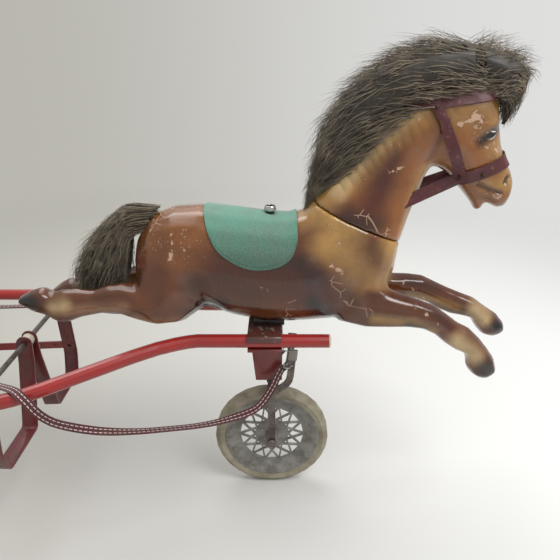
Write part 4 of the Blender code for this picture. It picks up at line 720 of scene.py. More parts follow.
for tooth in range(COMB_TEETH):
    share = tooth / (COMB_TEETH - 1)
    root_x, root_z = 0.088 + 0.140 * share, 0.548 + 0.100 * share
    sweep = 0.012 + 0.004 * math.sin(9.0 * share)
    head.push(((root_x, root_z), (root_x + sweep, root_z - 0.022)), 0.0032, 0.0011)
body.look()
head.look()
print("clay worked")

# %% [markdown]
# ## The airbrush
# The factory sprayed the horse in soft bands: golden tan on the crest and chest, amber on the rump,
# red-brown and near black along the belly. Some strokes paint light and shade too: a painted highlight along
# the neck's crest, a painted sheen along the top of the back, and painted shade under the belly, in the fold
# before the thigh and at the elbows. A stroke here lays a colour along a line, fading with distance, and is
# kept as the skin's own colours.

# %% Airbrush
SHADES = {
    "cream": "b9a075", "gold": "a37c42", "tan": "8f6b3c", "amber": "7d4a1c", "brown": "5a2f12",
    "red_brown": "431706", "dark": "26100a", "black": "0d0a09", "grey_brown": "6a5136", "pink": "9c7658",
}
PAINTS = {name: np.array(colour(code)[:3]) for name, code in SHADES.items()}


def spray_colour_and_light(skin, base, strokes):
    """Colours for every point of a skin, from a base and strokes of (shade, strength, reach, side, line)."""
    coat = np.tile(PAINTS[base], (skin.count, 1))
    for shade, strength, reach, side, line in strokes:
        share = (strength * soft_step(1 - skin.near(line, side) / reach))[:, None]
        coat = coat * (1 - share) + PAINTS[shade] * share
    return coat


def keep_colours(mesh, name, coat):
    layer = mesh.color_attributes.new(name, "FLOAT_COLOR", "POINT")
    opaque = np.concatenate((coat, np.ones((len(coat), 1))), axis=1)
    layer.data.foreach_set("color", opaque.astype(np.float32).ravel())


BODY_STROKES = (
    ("red_brown", 0.95, 0.075, 0, ((-0.110, 0.425), (-0.050, 0.405), (0.030, 0.395), (0.080, 0.385))),
    ("brown", 0.60, 0.030, 0, ((-0.080, 0.365), (-0.022, 0.352), (0.040, 0.345))),
    # Near black along the underside of the belly: partly its airbrushed dark, partly painted shade, as the
    # underside is turned from the light.
    ("dark", 0.90, 0.026, 0, ((-0.090, 0.338), (-0.020, 0.322), (0.060, 0.318), (0.110, 0.322))),
    ("amber", 0.90, 0.055, 0, ((-0.164, 0.462), (-0.135, 0.495), (-0.102, 0.483), (-0.122, 0.446))),
    # Grey-brown along the top of the back: its own tone with a painted sheen, where the light from above
    # falls on the gloss.
    ("grey_brown", 0.85, 0.026, 0, ((-0.170, 0.508), (-0.120, 0.520), (-0.050, 0.522), (0.040, 0.512))),
    ("brown", 0.85, 0.022, 0, ((-0.190, 0.470), (-0.196, 0.440), (-0.196, 0.405))),
    ("brown", 0.70, 0.030, 0, ((-0.150, 0.400), (-0.130, 0.365))),
    ("gold", 0.90, 0.045, 0, ((0.048, 0.503), (0.080, 0.497), (0.103, 0.473), (0.083, 0.456))),
    ("tan", 0.85, 0.042, 0, ((0.104, 0.443), (0.126, 0.413), (0.150, 0.395))),
    ("gold", 0.85, 0.036, 0, ((0.172, 0.452), (0.186, 0.420), (0.180, 0.392))),
    ("dark", 0.75, 0.024, 0, ((-0.020, 0.440), (0.040, 0.432), (0.062, 0.410))),
    ("pink", 0.75, 0.020, 0, ((-0.190, 0.341), (-0.155, 0.333), (-0.125, 0.338))),
    # Painted shade: black in the fold before the thigh, and on the next line black at the elbow, where the
    # foreleg meets the body.
    ("black", 0.95, 0.026, 0, ((-0.108, 0.351), (-0.090, 0.360), (-0.070, 0.366))),
    ("black", 0.90, 0.022, 0, ((0.062, 0.372), (0.076, 0.350), (0.098, 0.334))),
    ("brown", 0.90, 0.030, -1, ((0.130, 0.366), (0.174, 0.366), (0.218, 0.360), (0.250, 0.340))),
    ("brown", 0.90, 0.030, 1, ((0.190, 0.361), (0.240, 0.350), (0.290, 0.335))),
    ("red_brown", 0.85, 0.014, -1, ((0.140, 0.382), (0.190, 0.374), (0.228, 0.362), (0.262, 0.330))),
    ("red_brown", 0.85, 0.014, 1, ((0.200, 0.372), (0.250, 0.358), (0.300, 0.342))),
    ("gold", 0.80, 0.014, -1, ((0.150, 0.345), (0.205, 0.340), (0.236, 0.322))),
    ("gold", 0.70, 0.012, 1, ((0.220, 0.342), (0.270, 0.328), (0.300, 0.318))),
    ("black", 0.80, 0.016, -1, ((0.200, 0.333), (0.222, 0.326))),
    ("cream", 0.80, 0.026, -1, ((0.275, 0.305), (0.300, 0.282))),
    ("cream", 0.80, 0.022, 1, ((0.325, 0.315), (0.345, 0.298))),
    ("brown", 0.60, 0.016, 0, ((-0.200, 0.392), (-0.250, 0.386))),
    ("pink", 0.70, 0.014, 0, ((-0.205, 0.366), (-0.250, 0.362), (-0.290, 0.360))),
    ("cream", 0.70, 0.018, 0, ((-0.292, 0.368), (-0.306, 0.364))),
    ("black", 1.00, 0.022, 0, ((-0.336, 0.372), (-0.360, 0.376))),
    ("black", 1.00, 0.027, -1, ((0.322, 0.262), (0.344, 0.250))),
    ("black", 1.00, 0.024, 1, ((0.366, 0.286), (0.386, 0.278))),
)
HEAD_STROKES = (
    ("red_brown", 0.95, 0.050, 0, ((0.102, 0.490), (0.131, 0.490), (0.150, 0.530), (0.165, 0.570))),
    ("dark", 0.70, 0.026, 0, ((0.110, 0.484), (0.140, 0.480), (0.158, 0.484))),
    ("amber", 0.80, 0.034, 0, ((0.180, 0.480), (0.190, 0.534), (0.200, 0.581), (0.205, 0.619))),
    ("gold", 0.90, 0.040, 0,
     ((0.066, 0.515), (0.100, 0.550), (0.135, 0.588), (0.169, 0.619), (0.200, 0.644))),
    # Painted highlight: a cream band along the neck's crest, where the light from above catches it.
    ("cream", 0.75, 0.020, 0,
     ((0.093, 0.525), (0.112, 0.555), (0.139, 0.588), (0.169, 0.619), (0.198, 0.644))),
    ("gold", 0.80, 0.024, 0, ((0.196, 0.462), (0.206, 0.510), (0.213, 0.545))),
    ("tan", 0.80, 0.040, 0, ((0.240, 0.625), (0.275, 0.632), (0.315, 0.620))),
    ("amber", 0.85, 0.032, 0, ((0.238, 0.590), (0.262, 0.575))),
    ("tan", 0.85, 0.028, 0, ((0.300, 0.585), (0.322, 0.560), (0.335, 0.540))),
    ("gold", 0.70, 0.020, 0, ((0.300, 0.530), (0.325, 0.532))),
    ("brown", 0.60, 0.010, 0, ((0.229, 0.613), (0.220, 0.594), (0.213, 0.568))),
    ("black", 0.95, 0.013, 0, ((0.278, 0.592), (0.290, 0.600), (0.301, 0.606))),
    ("black", 0.90, 0.006, 0, ((0.323, 0.534), (0.326, 0.541))),
    ("red_brown", 0.85, 0.006, 0, ((0.285, 0.533), (0.305, 0.523), (0.318, 0.520))),
)
keep_colours(body.mesh, "paint", spray_colour_and_light(body, "brown", BODY_STROKES))
keep_colours(head.mesh, "paint", spray_colour_and_light(head, "amber", HEAD_STROKES))

# %% [markdown]
# Wear isn't even either. A second set of strokes marks where the enamel has chipped to its
# pale ground and where it has cracked. The material breaks these soft zones into islands.

# %% Worn places
BODY_WEAR = (
    (1.00, 0.010, ((0.086, 0.426), (0.100, 0.419))),
    (0.80, 0.008, ((0.208, 0.364),)),
    (0.85, 0.008, ((0.223, 0.353),)),
    (0.90, 0.009, ((0.244, 0.337),)),
    (0.75, 0.008, ((-0.120, 0.475),)),
    (0.85, 0.009, ((-0.134, 0.458), (-0.137, 0.434))),
    (0.70, 0.007, ((-0.154, 0.451),)),
    (0.80, 0.006, ((-0.017, 0.395), (0.000, 0.391))),
    (0.50, 0.060, ((-0.160, 0.470), (-0.120, 0.450))),
    (0.45, 0.030, ((-0.190, 0.341), (-0.125, 0.338))),
    (0.60, 0.016, ((0.330, 0.252), (0.344, 0.246))),
    (0.45, 0.050, ((0.080, 0.480), (0.110, 0.440))),
)
BODY_CRACKS = (
    (1.0, 0.012, ((0.090, 0.405), (0.099, 0.390), (0.114, 0.371), (0.131, 0.357), (0.140, 0.356))),
    (1.0, 0.010, ((0.030, 0.381), (0.031, 0.367), (0.026, 0.349))),
    (0.9, 0.012, ((-0.160, 0.480), (-0.140, 0.500))),
)
HEAD_WEAR = (
    (0.85, 0.008, ((0.193, 0.619),)),
    (0.80, 0.007, ((0.160, 0.553), (0.177, 0.557))),
    (0.75, 0.006, ((0.175, 0.540),)),
    (0.90, 0.008, ((0.245, 0.614), (0.269, 0.623))),
    (0.55, 0.050, ((0.260, 0.620), (0.320, 0.560))),
    (0.45, 0.040, ((0.110, 0.550), (0.180, 0.620))),
    (0.80, 0.012, ((0.300, 0.520), (0.318, 0.514))),
)
HEAD_CRACKS = ((0.9, 0.012, ((0.120, 0.500), (0.160, 0.470))),)


def keep_zone(skin, name, strokes):
    """A soft zone from strokes of (strength, reach, line), kept as one value a point."""
    zone = np.zeros(skin.count)
    for strength, reach, line in strokes:
        zone = np.maximum(zone, strength * soft_step(1 - skin.near(line) / reach))
    layer = skin.mesh.attributes.new(name, "FLOAT", "POINT")
    layer.data.foreach_set("value", zone.astype(np.float32))


keep_zone(body, "wear", BODY_WEAR)
keep_zone(body, "crack", BODY_CRACKS)
keep_zone(head, "wear", HEAD_WEAR)
keep_zone(head, "crack", HEAD_CRACKS)

# %% [markdown]
# The horse's material reads those colours and zones. Fine pale specks lie all over, larger
# islands break out where the wear zone is strong, and thin cells make the cracks.

# %% The horse's material
horse_enamel, w, shader, where = start_material("horse_enamel", Coat_Roughness=0.10, Specular_IOR_Level=0.45)
# The skin's colours: the airbrushed paint, with a painted highlight, sheen and shade in places.
sprayed_colour_and_light = w.add("Attribute", attribute_name="paint").outputs["Color"]
worn = w.add("Attribute", attribute_name="wear").outputs["Fac"]
cracked = w.add("Attribute", attribute_name="crack").outputs["Fac"]
mottle = w.step(w.noise(where, 16.0, 5.0, 0.6), 0.30, 0.70, 0.72, 1.22)
varied = w.dim(sprayed_colour_and_light, mottle)
dust = w.group(CHIPS, Where=where, Scale=420.0, Amount=w.math("MULTIPLY", worn, 0.16))
speck_amount = w.math("ADD", w.math("MULTIPLY", worn, 0.20), 0.135)
specks = w.group(CHIPS, Where=where, Scale=260.0, Amount=speck_amount)
islands = w.group(CHIPS, Where=where, Scale=95.0, Amount=w.math("MULTIPLY", worn, 0.46))
cells = w.add("TexVoronoi", {"Vector": where, "Scale": 42.0}, feature="DISTANCE_TO_EDGE").outputs[0]
split = w.math("MULTIPLY", w.step(cells, 0.030, 0.012), w.step(cracked, 0.25, 0.5))
bare = w.math("MAXIMUM", islands["Mask"], w.math("MULTIPLY", specks["Mask"], 0.8))
bare = w.math("MAXIMUM", bare, w.math("MULTIPLY", dust["Mask"], 0.6))
bare = w.math("MAXIMUM", bare, w.math("MULTIPLY", split, 0.7))
ringed = w.mix(w.math("MULTIPLY", islands["Rim"], 0.4), varied, colour("3a1a10"))
w.feed(w.mix(bare, ringed, colour("b3937a")), shader.inputs["Base Color"])
haze = w.step(w.noise(where, 30.0, 4.0), 0.35, 0.75, 0.20, 0.36)
w.feed(w.math("ADD", haze, w.math("MULTIPLY", bare, 0.4)), shader.inputs["Roughness"])
w.feed(w.math("SUBTRACT", 0.65, w.math("MULTIPLY", bare, 0.6)), shader.inputs["Coat Weight"])
orange_peel = w.math("MULTIPLY", w.group(GRAIN, Where=where, Scale=260.0)["Height"], 0.35)
add_bump(w, shader, w.math("SUBTRACT", orange_peel, bare), 0.00030)

as_piece("horse_body_skin", body.mesh, "frame", "horse_enamel", horse_enamel, "horse_body")
as_piece("horse_head_skin", head.mesh, "frame", "horse_enamel", horse_enamel, "horse_neck_head")

# %% [markdown]
# ## Finding the skin
# Cloth, straps and eyes must lie on the horse. A tree of its faces answers where a ray
# first meets it, so a strap can be laid point by point, a little above the skin.

# %% Rays onto the skin


def face_tree(*skins):
    points, faces = [], []
    for skin in skins:
        base = len(points)
        points += [Vector(p) for p in skin.points]
        faces += [[base + i for i in polygon.vertices] for polygon in skin.mesh.polygons]
    return BVHTree.FromPolygons(points, faces)


head_tree = face_tree(head)
both_tree = face_tree(body, head)
RAY = 0.30


def lie_on(tree, start, aim, lift):
    """The point where a ray from start towards aim meets the skin, raised by lift, or None."""
    hit, normal, _, _ = tree.ray_cast(start, (aim - start).normalized())
    return None if hit is None else hit + normal * lift


def on_flank(tree, x, z, side, lift):
    """The skin's point at (x, z) in the side view, seen from one side."""
    start = place(x, side * RAY, z)
    return lie_on(tree, start, place(x, 0, z), lift)


# %% [markdown]
# ## The eyes
# Each eye is a glossy almond set in a painted black socket: dark brown, with a black pupil
# and a white line along the lower lid. The colours are laid on the ball before it is set.

# %% Eyes
EYE_AT = (0.290, 0.599)
EYE_HALF = (0.0105, 0.0062, 0.0042)
EYE_TILT = math.radians(34)
wet = {"Coat_Weight": 1.0, "Coat_Roughness": 0.03, "Roughness": 0.12}
eye_gloss, w, shader, where = start_material("eye_gloss", **wet)
w.feed(w.add("Attribute", attribute_name="paint").outputs["Color"], shader.inputs["Base Color"])
for side, label in ((-1, "right"), (1, "left")):
    bm = bmesh.new()
    bmesh.ops.create_uvsphere(bm, u_segments=40, v_segments=24, radius=1.0)
    coat = []
    seat = on_flank(head_tree, EYE_AT[0], EYE_AT[1], side, -0.0012)
    for vert in bm.verts:
        u, v = vert.co.x, vert.co.y
        shade = "2a160c"
        if u * u * 3.2 + v * v * 1.1 < 0.62:
            shade = "050404"
        if v < -0.55 * (1 - 0.4 * u * u):
            shade = "b9b2a6"
        coat.append(colour(shade)[:3])
        a, b = u * EYE_HALF[0] * (1 - 0.25 * abs(v)), v * EYE_HALF[1]
        x = a * math.cos(EYE_TILT) - b * math.sin(EYE_TILT)
        z = a * math.sin(EYE_TILT) + b * math.cos(EYE_TILT)
        vert.co = seat + Vector((x, side * abs(vert.co.z) * EYE_HALF[2] * (1 if vert.co.z > 0 else -1), z))
    mesh = finished(bm, "eye_" + label)
    keep_colours(mesh, "paint", np.array(coat))
    as_piece("eye_" + label, mesh, "frame", "horse_enamel", eye_gloss)
print("eyes set")

# %% [markdown]
# ## Fur
# The mane, forelock and tail are real fur. A core painted dark fills each one, a painted shade that stands
# for the shade deep inside the lock, and thousands of thin tapering hairs grow over it. A lock's shape is a
# row of rings: an outer point, an inner point and a half width. A hair starts low in a ring and runs along
# the rings.

# %% Rings of the fur
MANE = (
    ((0.056, 0.522), (0.080, 0.512), 0.010), ((0.061, 0.556), (0.104, 0.528), 0.024),
    ((0.070, 0.601), (0.126, 0.556), 0.034), ((0.094, 0.641), (0.145, 0.582), 0.038),
    ((0.126, 0.676), (0.170, 0.607), 0.040), ((0.165, 0.700), (0.196, 0.627), 0.042),
    ((0.212, 0.715), (0.226, 0.642), 0.043), ((0.260, 0.717), (0.264, 0.650), 0.040),
)
FORELOCK = (
    ((0.268, 0.715), (0.271, 0.650), 0.032), ((0.297, 0.706), (0.296, 0.645), 0.034),
    ((0.324, 0.695), (0.306, 0.640), 0.030), ((0.340, 0.674), (0.310, 0.632), 0.024),
    ((0.333, 0.642), (0.312, 0.618), 0.019), ((0.324, 0.612), (0.312, 0.604), 0.010),
)
TAIL = (
    ((-0.156, 0.498), (-0.168, 0.464), 0.012), ((-0.206, 0.499), (-0.204, 0.452), 0.018),
    ((-0.240, 0.472), (-0.210, 0.420), 0.023), ((-0.268, 0.438), (-0.214, 0.395), 0.025),
    ((-0.287, 0.402), (-0.222, 0.376), 0.025), ((-0.290, 0.366), (-0.232, 0.354), 0.020),
    ((-0.272, 0.334), (-0.244, 0.334), 0.010),
)


def in_lock(rings, t, depth, across):
    """A point in a lock: t along its rings, depth from its inner to its outer line, and across its width."""
    i = int(min(max(math.floor(t), 0), len(rings) - 2))
    f = t - i
    (ox0, oz0), (ix0, iz0), half0 = rings[i]
    (ox1, oz1), (ix1, iz1), half1 = rings[i + 1]
    outer_x, outer_z = ox0 + (ox1 - ox0) * f, oz0 + (oz1 - oz0) * f
    inner_x, inner_z = ix0 + (ix1 - ix0) * f, iz0 + (iz1 - iz0) * f
    half = max(half0 + (half1 - half0) * f, 0.004)
    rounding = math.sqrt(max(0.12, 1 - 0.80 * max(depth, 0) ** 2.2))
    x = inner_x + (outer_x - inner_x) * depth
    z = inner_z + (outer_z - inner_z) * depth
    return place(x, across * half * rounding, z)


# %% [markdown]
# A hair is a line of a few points whose thickness runs out to nothing at its tip. Each kind
# of hair draws its own start, length and lean at random, so no two lie the same way, and a
# few longer wisps stand off from the rest.

# %% Growing hairs
HAIR_POINTS = 8


def grow(name, rings, count, seed, thick, ways):
    """Hairs as one curve object; ways(draw) gives a hair's start, run, depths, side and wildness."""
    draw = random.Random(seed)
    curve = bpy.data.curves.new(name, "CURVE")
    curve.dimensions = "3D"
    curve.bevel_depth = thick
    curve.bevel_resolution = 0
    curve.use_fill_caps = False
    for _ in range(count):
        start, run, depth0, depth1, side0, side1, wild = ways(draw)
        phase, waves = draw.uniform(0, 6.3), draw.uniform(0.6, 1.6)
        lean = draw.uniform(-1, 1)
        spline = curve.splines.new("POLY")
        spline.points.add(HAIR_POINTS - 1)
        size = draw.uniform(0.55, 1.25)
        for k in range(HAIR_POINTS):
            f = k / (HAIR_POINTS - 1)
            wave = math.sin(phase + 6.3 * waves * f) * wild * f
            depth = depth0 + (depth1 - depth0) * f ** 0.8
            point = in_lock(rings, start + run * f, depth, side0 + (side1 - side0) * f)
            point += Vector((wave, lean * wild * f * 1.6, wave * 0.8 * lean))
            spline.points[k].co = (*point, 1)
            spline.points[k].radius = size * (1 - f ** 1.8)
    return curve


def mane_hair(draw):
    t = draw.uniform(0.35, 7.4)
    depth = draw.uniform(0.02, 0.80)
    run = -draw.uniform(0.9, 2.0)
    side = draw.uniform(-1.04, 1.04)
    return t, run, depth, depth + draw.uniform(0.10, 0.42), side, side * draw.uniform(0.85, 1.12), 0.004


def mane_wisp(draw):
    t = draw.uniform(0.8, 7.6)
    run = -draw.uniform(1.0, 2.6)
    side = draw.uniform(-1, 1)
    depths = draw.uniform(0.5, 0.85), draw.uniform(1.02, 1.26)
    return t, run, *depths, side, side * draw.uniform(0.6, 1.3), 0.009


def forelock_hair(draw):
    t = draw.uniform(-0.6, 3.0)
    depth = draw.uniform(0.0, 0.75)
    side = draw.uniform(-1.0, 1.0)
    return t, draw.uniform(1.0, 2.5), depth, depth + draw.uniform(0.1, 0.45), side, side * 1.05, 0.004


def forelock_wisp(draw):
    t = draw.uniform(-0.8, 2.2)
    side = draw.uniform(-1, 1)
    run = draw.uniform(0.8, 1.9)
    return t, run, draw.uniform(0.4, 0.8), draw.uniform(1.05, 1.40), side, side * 1.2, 0.010


def tail_hair(draw):
    t = draw.uniform(0.0, 3.4)
    depth = draw.uniform(0.02, 0.95)
    side = draw.uniform(-1.05, 1.05)
    return t, draw.uniform(1.4, 3.0), depth, depth + draw.uniform(-0.12, 0.14), side, side * 1.05, 0.005


def tail_wisp(draw):
    t = draw.uniform(0.8, 3.6)
    side = draw.uniform(-1, 1)
    run = draw.uniform(1.6, 2.7)
    return t, run, draw.uniform(0.5, 0.9), draw.uniform(0.95, 1.18), side, side * 1.3, 0.009


# %% [markdown]
# Each hair has its own shade, which the Random Per Island value gives, and a slow change of tone runs
# through the locks. The core under them has the same make-up in darker colours: painted shade, standing for
# the shade deep inside each lock.

# %% The fur's materials


def fur(name, dark, light, tip, gap):
    material, w, shader, where = start_material(name, Sheen_Weight=0.2, Sheen_Roughness=0.4, Roughness=0.55)
    island = w.add("NewGeometry").outputs["Random Per Island"]
    own = w.mix(w.step(island, 0.1, 0.9), colour(dark), colour(light))
    bleached = w.mix(w.step(w.noise(where, 34.0, 3.0), 0.50, 0.72, 0.0, 0.6), own, colour(tip))
    shade = w.step(w.noise(where, 62.0, 2.0), 0.30, 0.52, gap, 1.0)
    w.feed(w.dim(bleached, shade), shader.inputs["Base Color"])
    return material


hair_shade = fur("fur", "42382b", "7d6f5a", "a3937a", 0.55)
# The core's colours are painted shade: the fur's tones made darker to stand for the shade inside each lock.
core_painted_shade = fur("fur_core", "1f1912", "2e261c", "3a3024", 0.5)


def fur_core(node, inset):
    """The filling of a lock, painted dark as painted shade: a smoothed copy of its solid, drawn in under the
    hairs.
    """
    skin = moulding(node)
    skin.points -= skin.normals * inset
    skin.look()
    as_piece(node + "_core", skin.mesh, "frame", "fur", core_painted_shade, node)


CORE_INSET = 0.0035
for lock in ("mane", "forelock", "tail"):
    fur_core(lock, CORE_INSET)
GROWTHS = (
    ("mane_hair_low", MANE, 3000, 11, 0.00055, mane_hair),
    ("mane_hair_high", MANE, 3000, 12, 0.00048, mane_hair),
    ("mane_wisps", MANE, 420, 13, 0.00035, mane_wisp),
    ("forelock_hair", FORELOCK, 1900, 14, 0.00050, forelock_hair),
    ("forelock_wisps", FORELOCK, 220, 15, 0.00035, forelock_wisp),
    ("tail_hair", TAIL, 3000, 16, 0.00052, tail_hair),
    ("tail_wisps", TAIL, 320, 17, 0.00035, tail_wisp),
)
for name, rings, count, seed, thick, ways in GROWTHS:
    as_piece(name, grow(name, rings, count, seed, thick, ways), "frame", "fur", hair_shade)
print("hairs", sum(g[2] for g in GROWTHS))

# %% [markdown]
# ## The saddle cloth
# A teal cloth lies over the back, with rounded corners and a line of dark stitches inside
# its edge. Rays from all round the barrel find the skin, a row is cut off where its outline
# says, and the cloth is laid there just above the skin.

# %% Saddle cloth
SADDLE_OUTLINE = (
    (-0.094, 0.497), (-0.087, 0.476), (-0.076, 0.454), (-0.060, 0.438), (-0.037, 0.425),
    (-0.014, 0.421), (0.011, 0.425), (0.030, 0.438), (0.0385, 0.459),
)
CLOTH_LIFT = 0.0012
CLOTH_THICK = 0.0015
CLOTH_RAYS = 70
CLOTH_STEP = 1.8
BARREL_Z = 0.44
LEAST_CUT = 0.05
outline = np.array(smooth_path(SADDLE_OUTLINE, 8))
cloth_x0, cloth_x1 = SADDLE_OUTLINE[0][0], SADDLE_OUTLINE[-1][0]


def half_section(x, side):
    """The skin's line from the back's top down to the cloth's edge, as points and arc lengths."""
    low = float(np.interp(x, outline[:, 0], outline[:, 1]))
    centre = place(x, 0, BARREL_Z)
    line = []
    for i in range(CLOTH_RAYS):
        angle = math.radians(CLOTH_STEP * i)
        start = centre + Vector((0, side * math.sin(angle) * RAY, math.cos(angle) * RAY))
        point = lie_on(both_tree, start, centre, CLOTH_LIFT)
        if point is None or (point.z < low and not line):
            continue
        if not line:
            line.append(Vector((point.x, 0, point.z)))
        if point.z < low:
            last = line[-1]
            share = (last.z - low) / max(last.z - point.z, 0.0001)
            line.append(last.lerp(point, min(max(share, LEAST_CUT), 1)))
            break
        line.append(point)
    arcs = np.concatenate(([0], np.cumsum([(b - a).length for a, b in zip(line, line[1:])])))
    return np.array([tuple(p) for p in line]), arcs


CLOTH_COLUMNS = 56
CLOTH_ROWS = 72
sections = {}
for column in range(CLOTH_COLUMNS + 1):
    x = cloth_x0 + (cloth_x1 - cloth_x0) * (0.5 - 0.5 * math.cos(math.pi * column / CLOTH_COLUMNS))
    sections[column] = (half_section(x, -1), half_section(x, 1))


def on_cloth(u, v):
    """The cloth's point: u along the back, v from its near edge over the top to its far edge."""
    near_half, far_half = sections[round(u * CLOTH_COLUMNS)]
    points, arcs = near_half if v < 0.5 else far_half
    reach = abs(v - 0.5) * 2 * arcs[-1]
    return on_line(points, arcs, reach)


cloth_mesh = laid_grid("saddle_cloth_laid", CLOTH_COLUMNS, CLOTH_ROWS, on_cloth)
bm = bmesh.new()
bm.from_mesh(cloth_mesh)
even_out(bm, [v for v in bm.verts if not v.is_boundary], 1)
bm.to_mesh(cloth_mesh)
bm.free()
lies_up = cloth_mesh.polygons[0].normal.z
cloth_mesh = with_modifiers("saddle_cloth_laid", cloth_mesh,
                            ("SOLIDIFY", {"thickness": CLOTH_THICK, "offset": 1.0 if lies_up > 0 else -1.0}))
cloth_mesh.set_sharp_from_angle(angle=math.radians(50))

# %% [markdown]
# The real cloth is felted and soiled in patches. Its colour is painted darker lower down, a painted shade
# where the cloth turns away from the light; a fine noise gives its fibres, and the seam is a row of small
# thread capsules.

# %% The cloth's material and stitches
cloth_dye_and_shade, w, shader, where = start_material("saddle_cloth", Sheen_Weight=0.3, Sheen_Roughness=0.6)
parts = w.add("SeparateXYZ", {0: where}).outputs
# Painted shade: the cloth is painted darker from 0.50 m down to 0.425 m, where it turns from the light.
painted_shade_low_down = w.step(parts[2], 0.500, 0.425)
dye_and_painted_shade = w.mix(painted_shade_low_down, colour("44806c"), colour("2f5345"))
stain = w.math("MULTIPLY", w.group(GRIME, Where=where, Scale=24.0)["Mask"], 0.55)
soiled_and_shaded = w.mix(stain, dye_and_painted_shade, colour("3d4a38"))
fibres = w.noise(where, 900.0, 2.0)
felted_and_shaded = w.mix(w.step(fibres, 0.35, 0.75, 0.0, 0.35), soiled_and_shaded, colour("7fa996"))
w.feed(felted_and_shaded, shader.inputs["Base Color"])
w.feed(w.step(stain, 0.0, 0.5, 0.80, 0.62), shader.inputs["Roughness"])
add_bump(w, shader, w.math("ADD", w.math("MULTIPLY", fibres, 0.6), w.noise(where, 60.0)), 0.0005)

thread, w, shader, where = start_material("cloth_thread", Roughness=0.7)
w.feed(w.mix(w.noise(where, 400.0), colour("16110e"), colour("3c332c")), shader.inputs["Base Color"])
add_bump(w, shader, w.group(GRAIN, Where=where, Scale=2000.0)["Height"], 0.0001)


MOST_STITCHES = 110


def stitch_line(points, length, gap, radius, lift):
    """Short thread capsules along a row of points, as one bmesh."""
    bm = bmesh.new()
    arcs = np.concatenate(([0], np.cumsum([(b - a).length for a, b in zip(points, points[1:])])))
    places = np.array([tuple(p) for p in points])
    print("stitched edge", round(float(arcs[-1]), 3), "m")
    for number in range(min(int(arcs[-1] / (length + gap)), MOST_STITCHES)):
        reach = gap + number * (length + gap)
        a, b = on_line(places, arcs, reach), on_line(places, arcs, reach + length)
        made = bmesh.ops.create_uvsphere(bm, u_segments=6, v_segments=5, radius=1.0)["verts"]
        bmesh.ops.scale(bm, vec=(radius, radius, (b - a).length / 2), verts=made)
        turn = (b - a).to_track_quat("Z", "Y").to_matrix()
        bmesh.ops.rotate(bm, cent=(0, 0, 0), matrix=turn, verts=made)
        bmesh.ops.translate(bm, vec=(a + b) / 2 + lift, verts=made)
    return bm


EDGE_IN = 0.0045
STITCH = 0.0020
STITCH_GAP = 0.0022
THREAD_RADIUS = 0.00045
for half in (0, 1):
    side = -1 if half == 0 else 1
    row = []
    for column in range(2, CLOTH_COLUMNS - 1):
        points, arcs = sections[column][half]
        reach = max(arcs[-1] - EDGE_IN, 0.0)
        row.append(on_line(points, arcs, reach))
    seam = stitch_line(row, STITCH, STITCH_GAP, THREAD_RADIUS, Vector((0, side * CLOTH_THICK, 0.0002)))
    label = "right" if side < 0 else "left"
    stitches = finished(seam, "stitches", 180)
    as_piece("cloth_stitches_" + label, stitches, "frame", "saddle_cloth", thread)
cloth = as_piece("saddle_cloth_laid", cloth_mesh, "frame", "saddle_cloth", cloth_dye_and_shade, "saddle_cloth")

# %% [markdown]
# ## The bridle
# Two bands go round the head, one across the brow and one round the nose, and a cheek strap
# joins them on each side. Each is laid on the skin by rays towards the middle of its line.

# %% Bridle straps
STRAP_THICK = 0.0016
STRAP_ROWS = 4


def band_rule(start, end, width, tree, lift):
    """A rule for a band round the head, in the plane through the line from start to end and across."""
    a, b = place(start[0], 0, start[1]), place(end[0], 0, end[1])
    centre, along = (a + b) / 2, (b - a).normalized()
    upward = Vector((-along.z, 0, along.x))

    def rule(u, v):
        angle = 2 * math.pi * u
        middle = centre + upward * (v - 0.5) * width
        away = along * math.cos(angle) + Vector((0, math.sin(angle), 0))
        point = lie_on(tree, middle + away * RAY, middle, lift)
        return point if point is not None else middle + away * 0.03

    return rule


def flank_rule(start, end, width, side, tree, lift):
    """A rule for a flat strap on one side of the head."""
    a, b = Vector((start[0], start[1])), Vector((end[0], end[1]))
    along = (b - a).normalized()
    across = Vector((-along.y, along.x))

    def rule(u, v):
        spot = a.lerp(b, u) + across * (v - 0.5) * width
        point = on_flank(tree, spot.x, spot.y, side, lift)
        return point if point is not None else place(spot.x, side * 0.02, spot.y)

    return rule


leather, w, shader, where = start_material("bridle_leather", Coat_Weight=0.15, Coat_Roughness=0.35)
hide = w.mix(w.noise(where, 40.0, 4.0), colour("3c1418"), colour("5e2226"))
rubbed = w.group(CHIPS, Where=where, Scale=130.0, Amount=0.24)
w.feed(w.mix(w.math("MULTIPLY", rubbed["Mask"], 0.6), hide, colour("7a5048")), shader.inputs["Base Color"])
w.feed(w.step(w.noise(where, 70.0), 0.3, 0.7, 0.38, 0.62), shader.inputs["Roughness"])
pores = w.add("TexVoronoi", {"Vector": where, "Scale": 900.0}).outputs[0]
add_bump(w, shader, w.math("ADD", pores, w.noise(where, 120.0)), 0.00025)


def smoothed_strap(name, mesh, passes, closed):
    """Joins a band's ends, evens out the ray's small steps and gives the strap its thickness."""
    bm = bmesh.new()
    bm.from_mesh(mesh)
    if closed:
        bmesh.ops.remove_doubles(bm, verts=bm.verts, dist=0.0001)
    even_out(bm, [v for v in bm.verts if not v.is_boundary], passes)
    bmesh.ops.recalc_face_normals(bm, faces=bm.faces)
    bm.to_mesh(mesh)
    bm.free()
    solid = with_modifiers(name, mesh, ("SOLIDIFY", {"thickness": STRAP_THICK, "offset": 0.0}))
    solid.set_sharp_from_angle(angle=math.radians(50))
    return solid


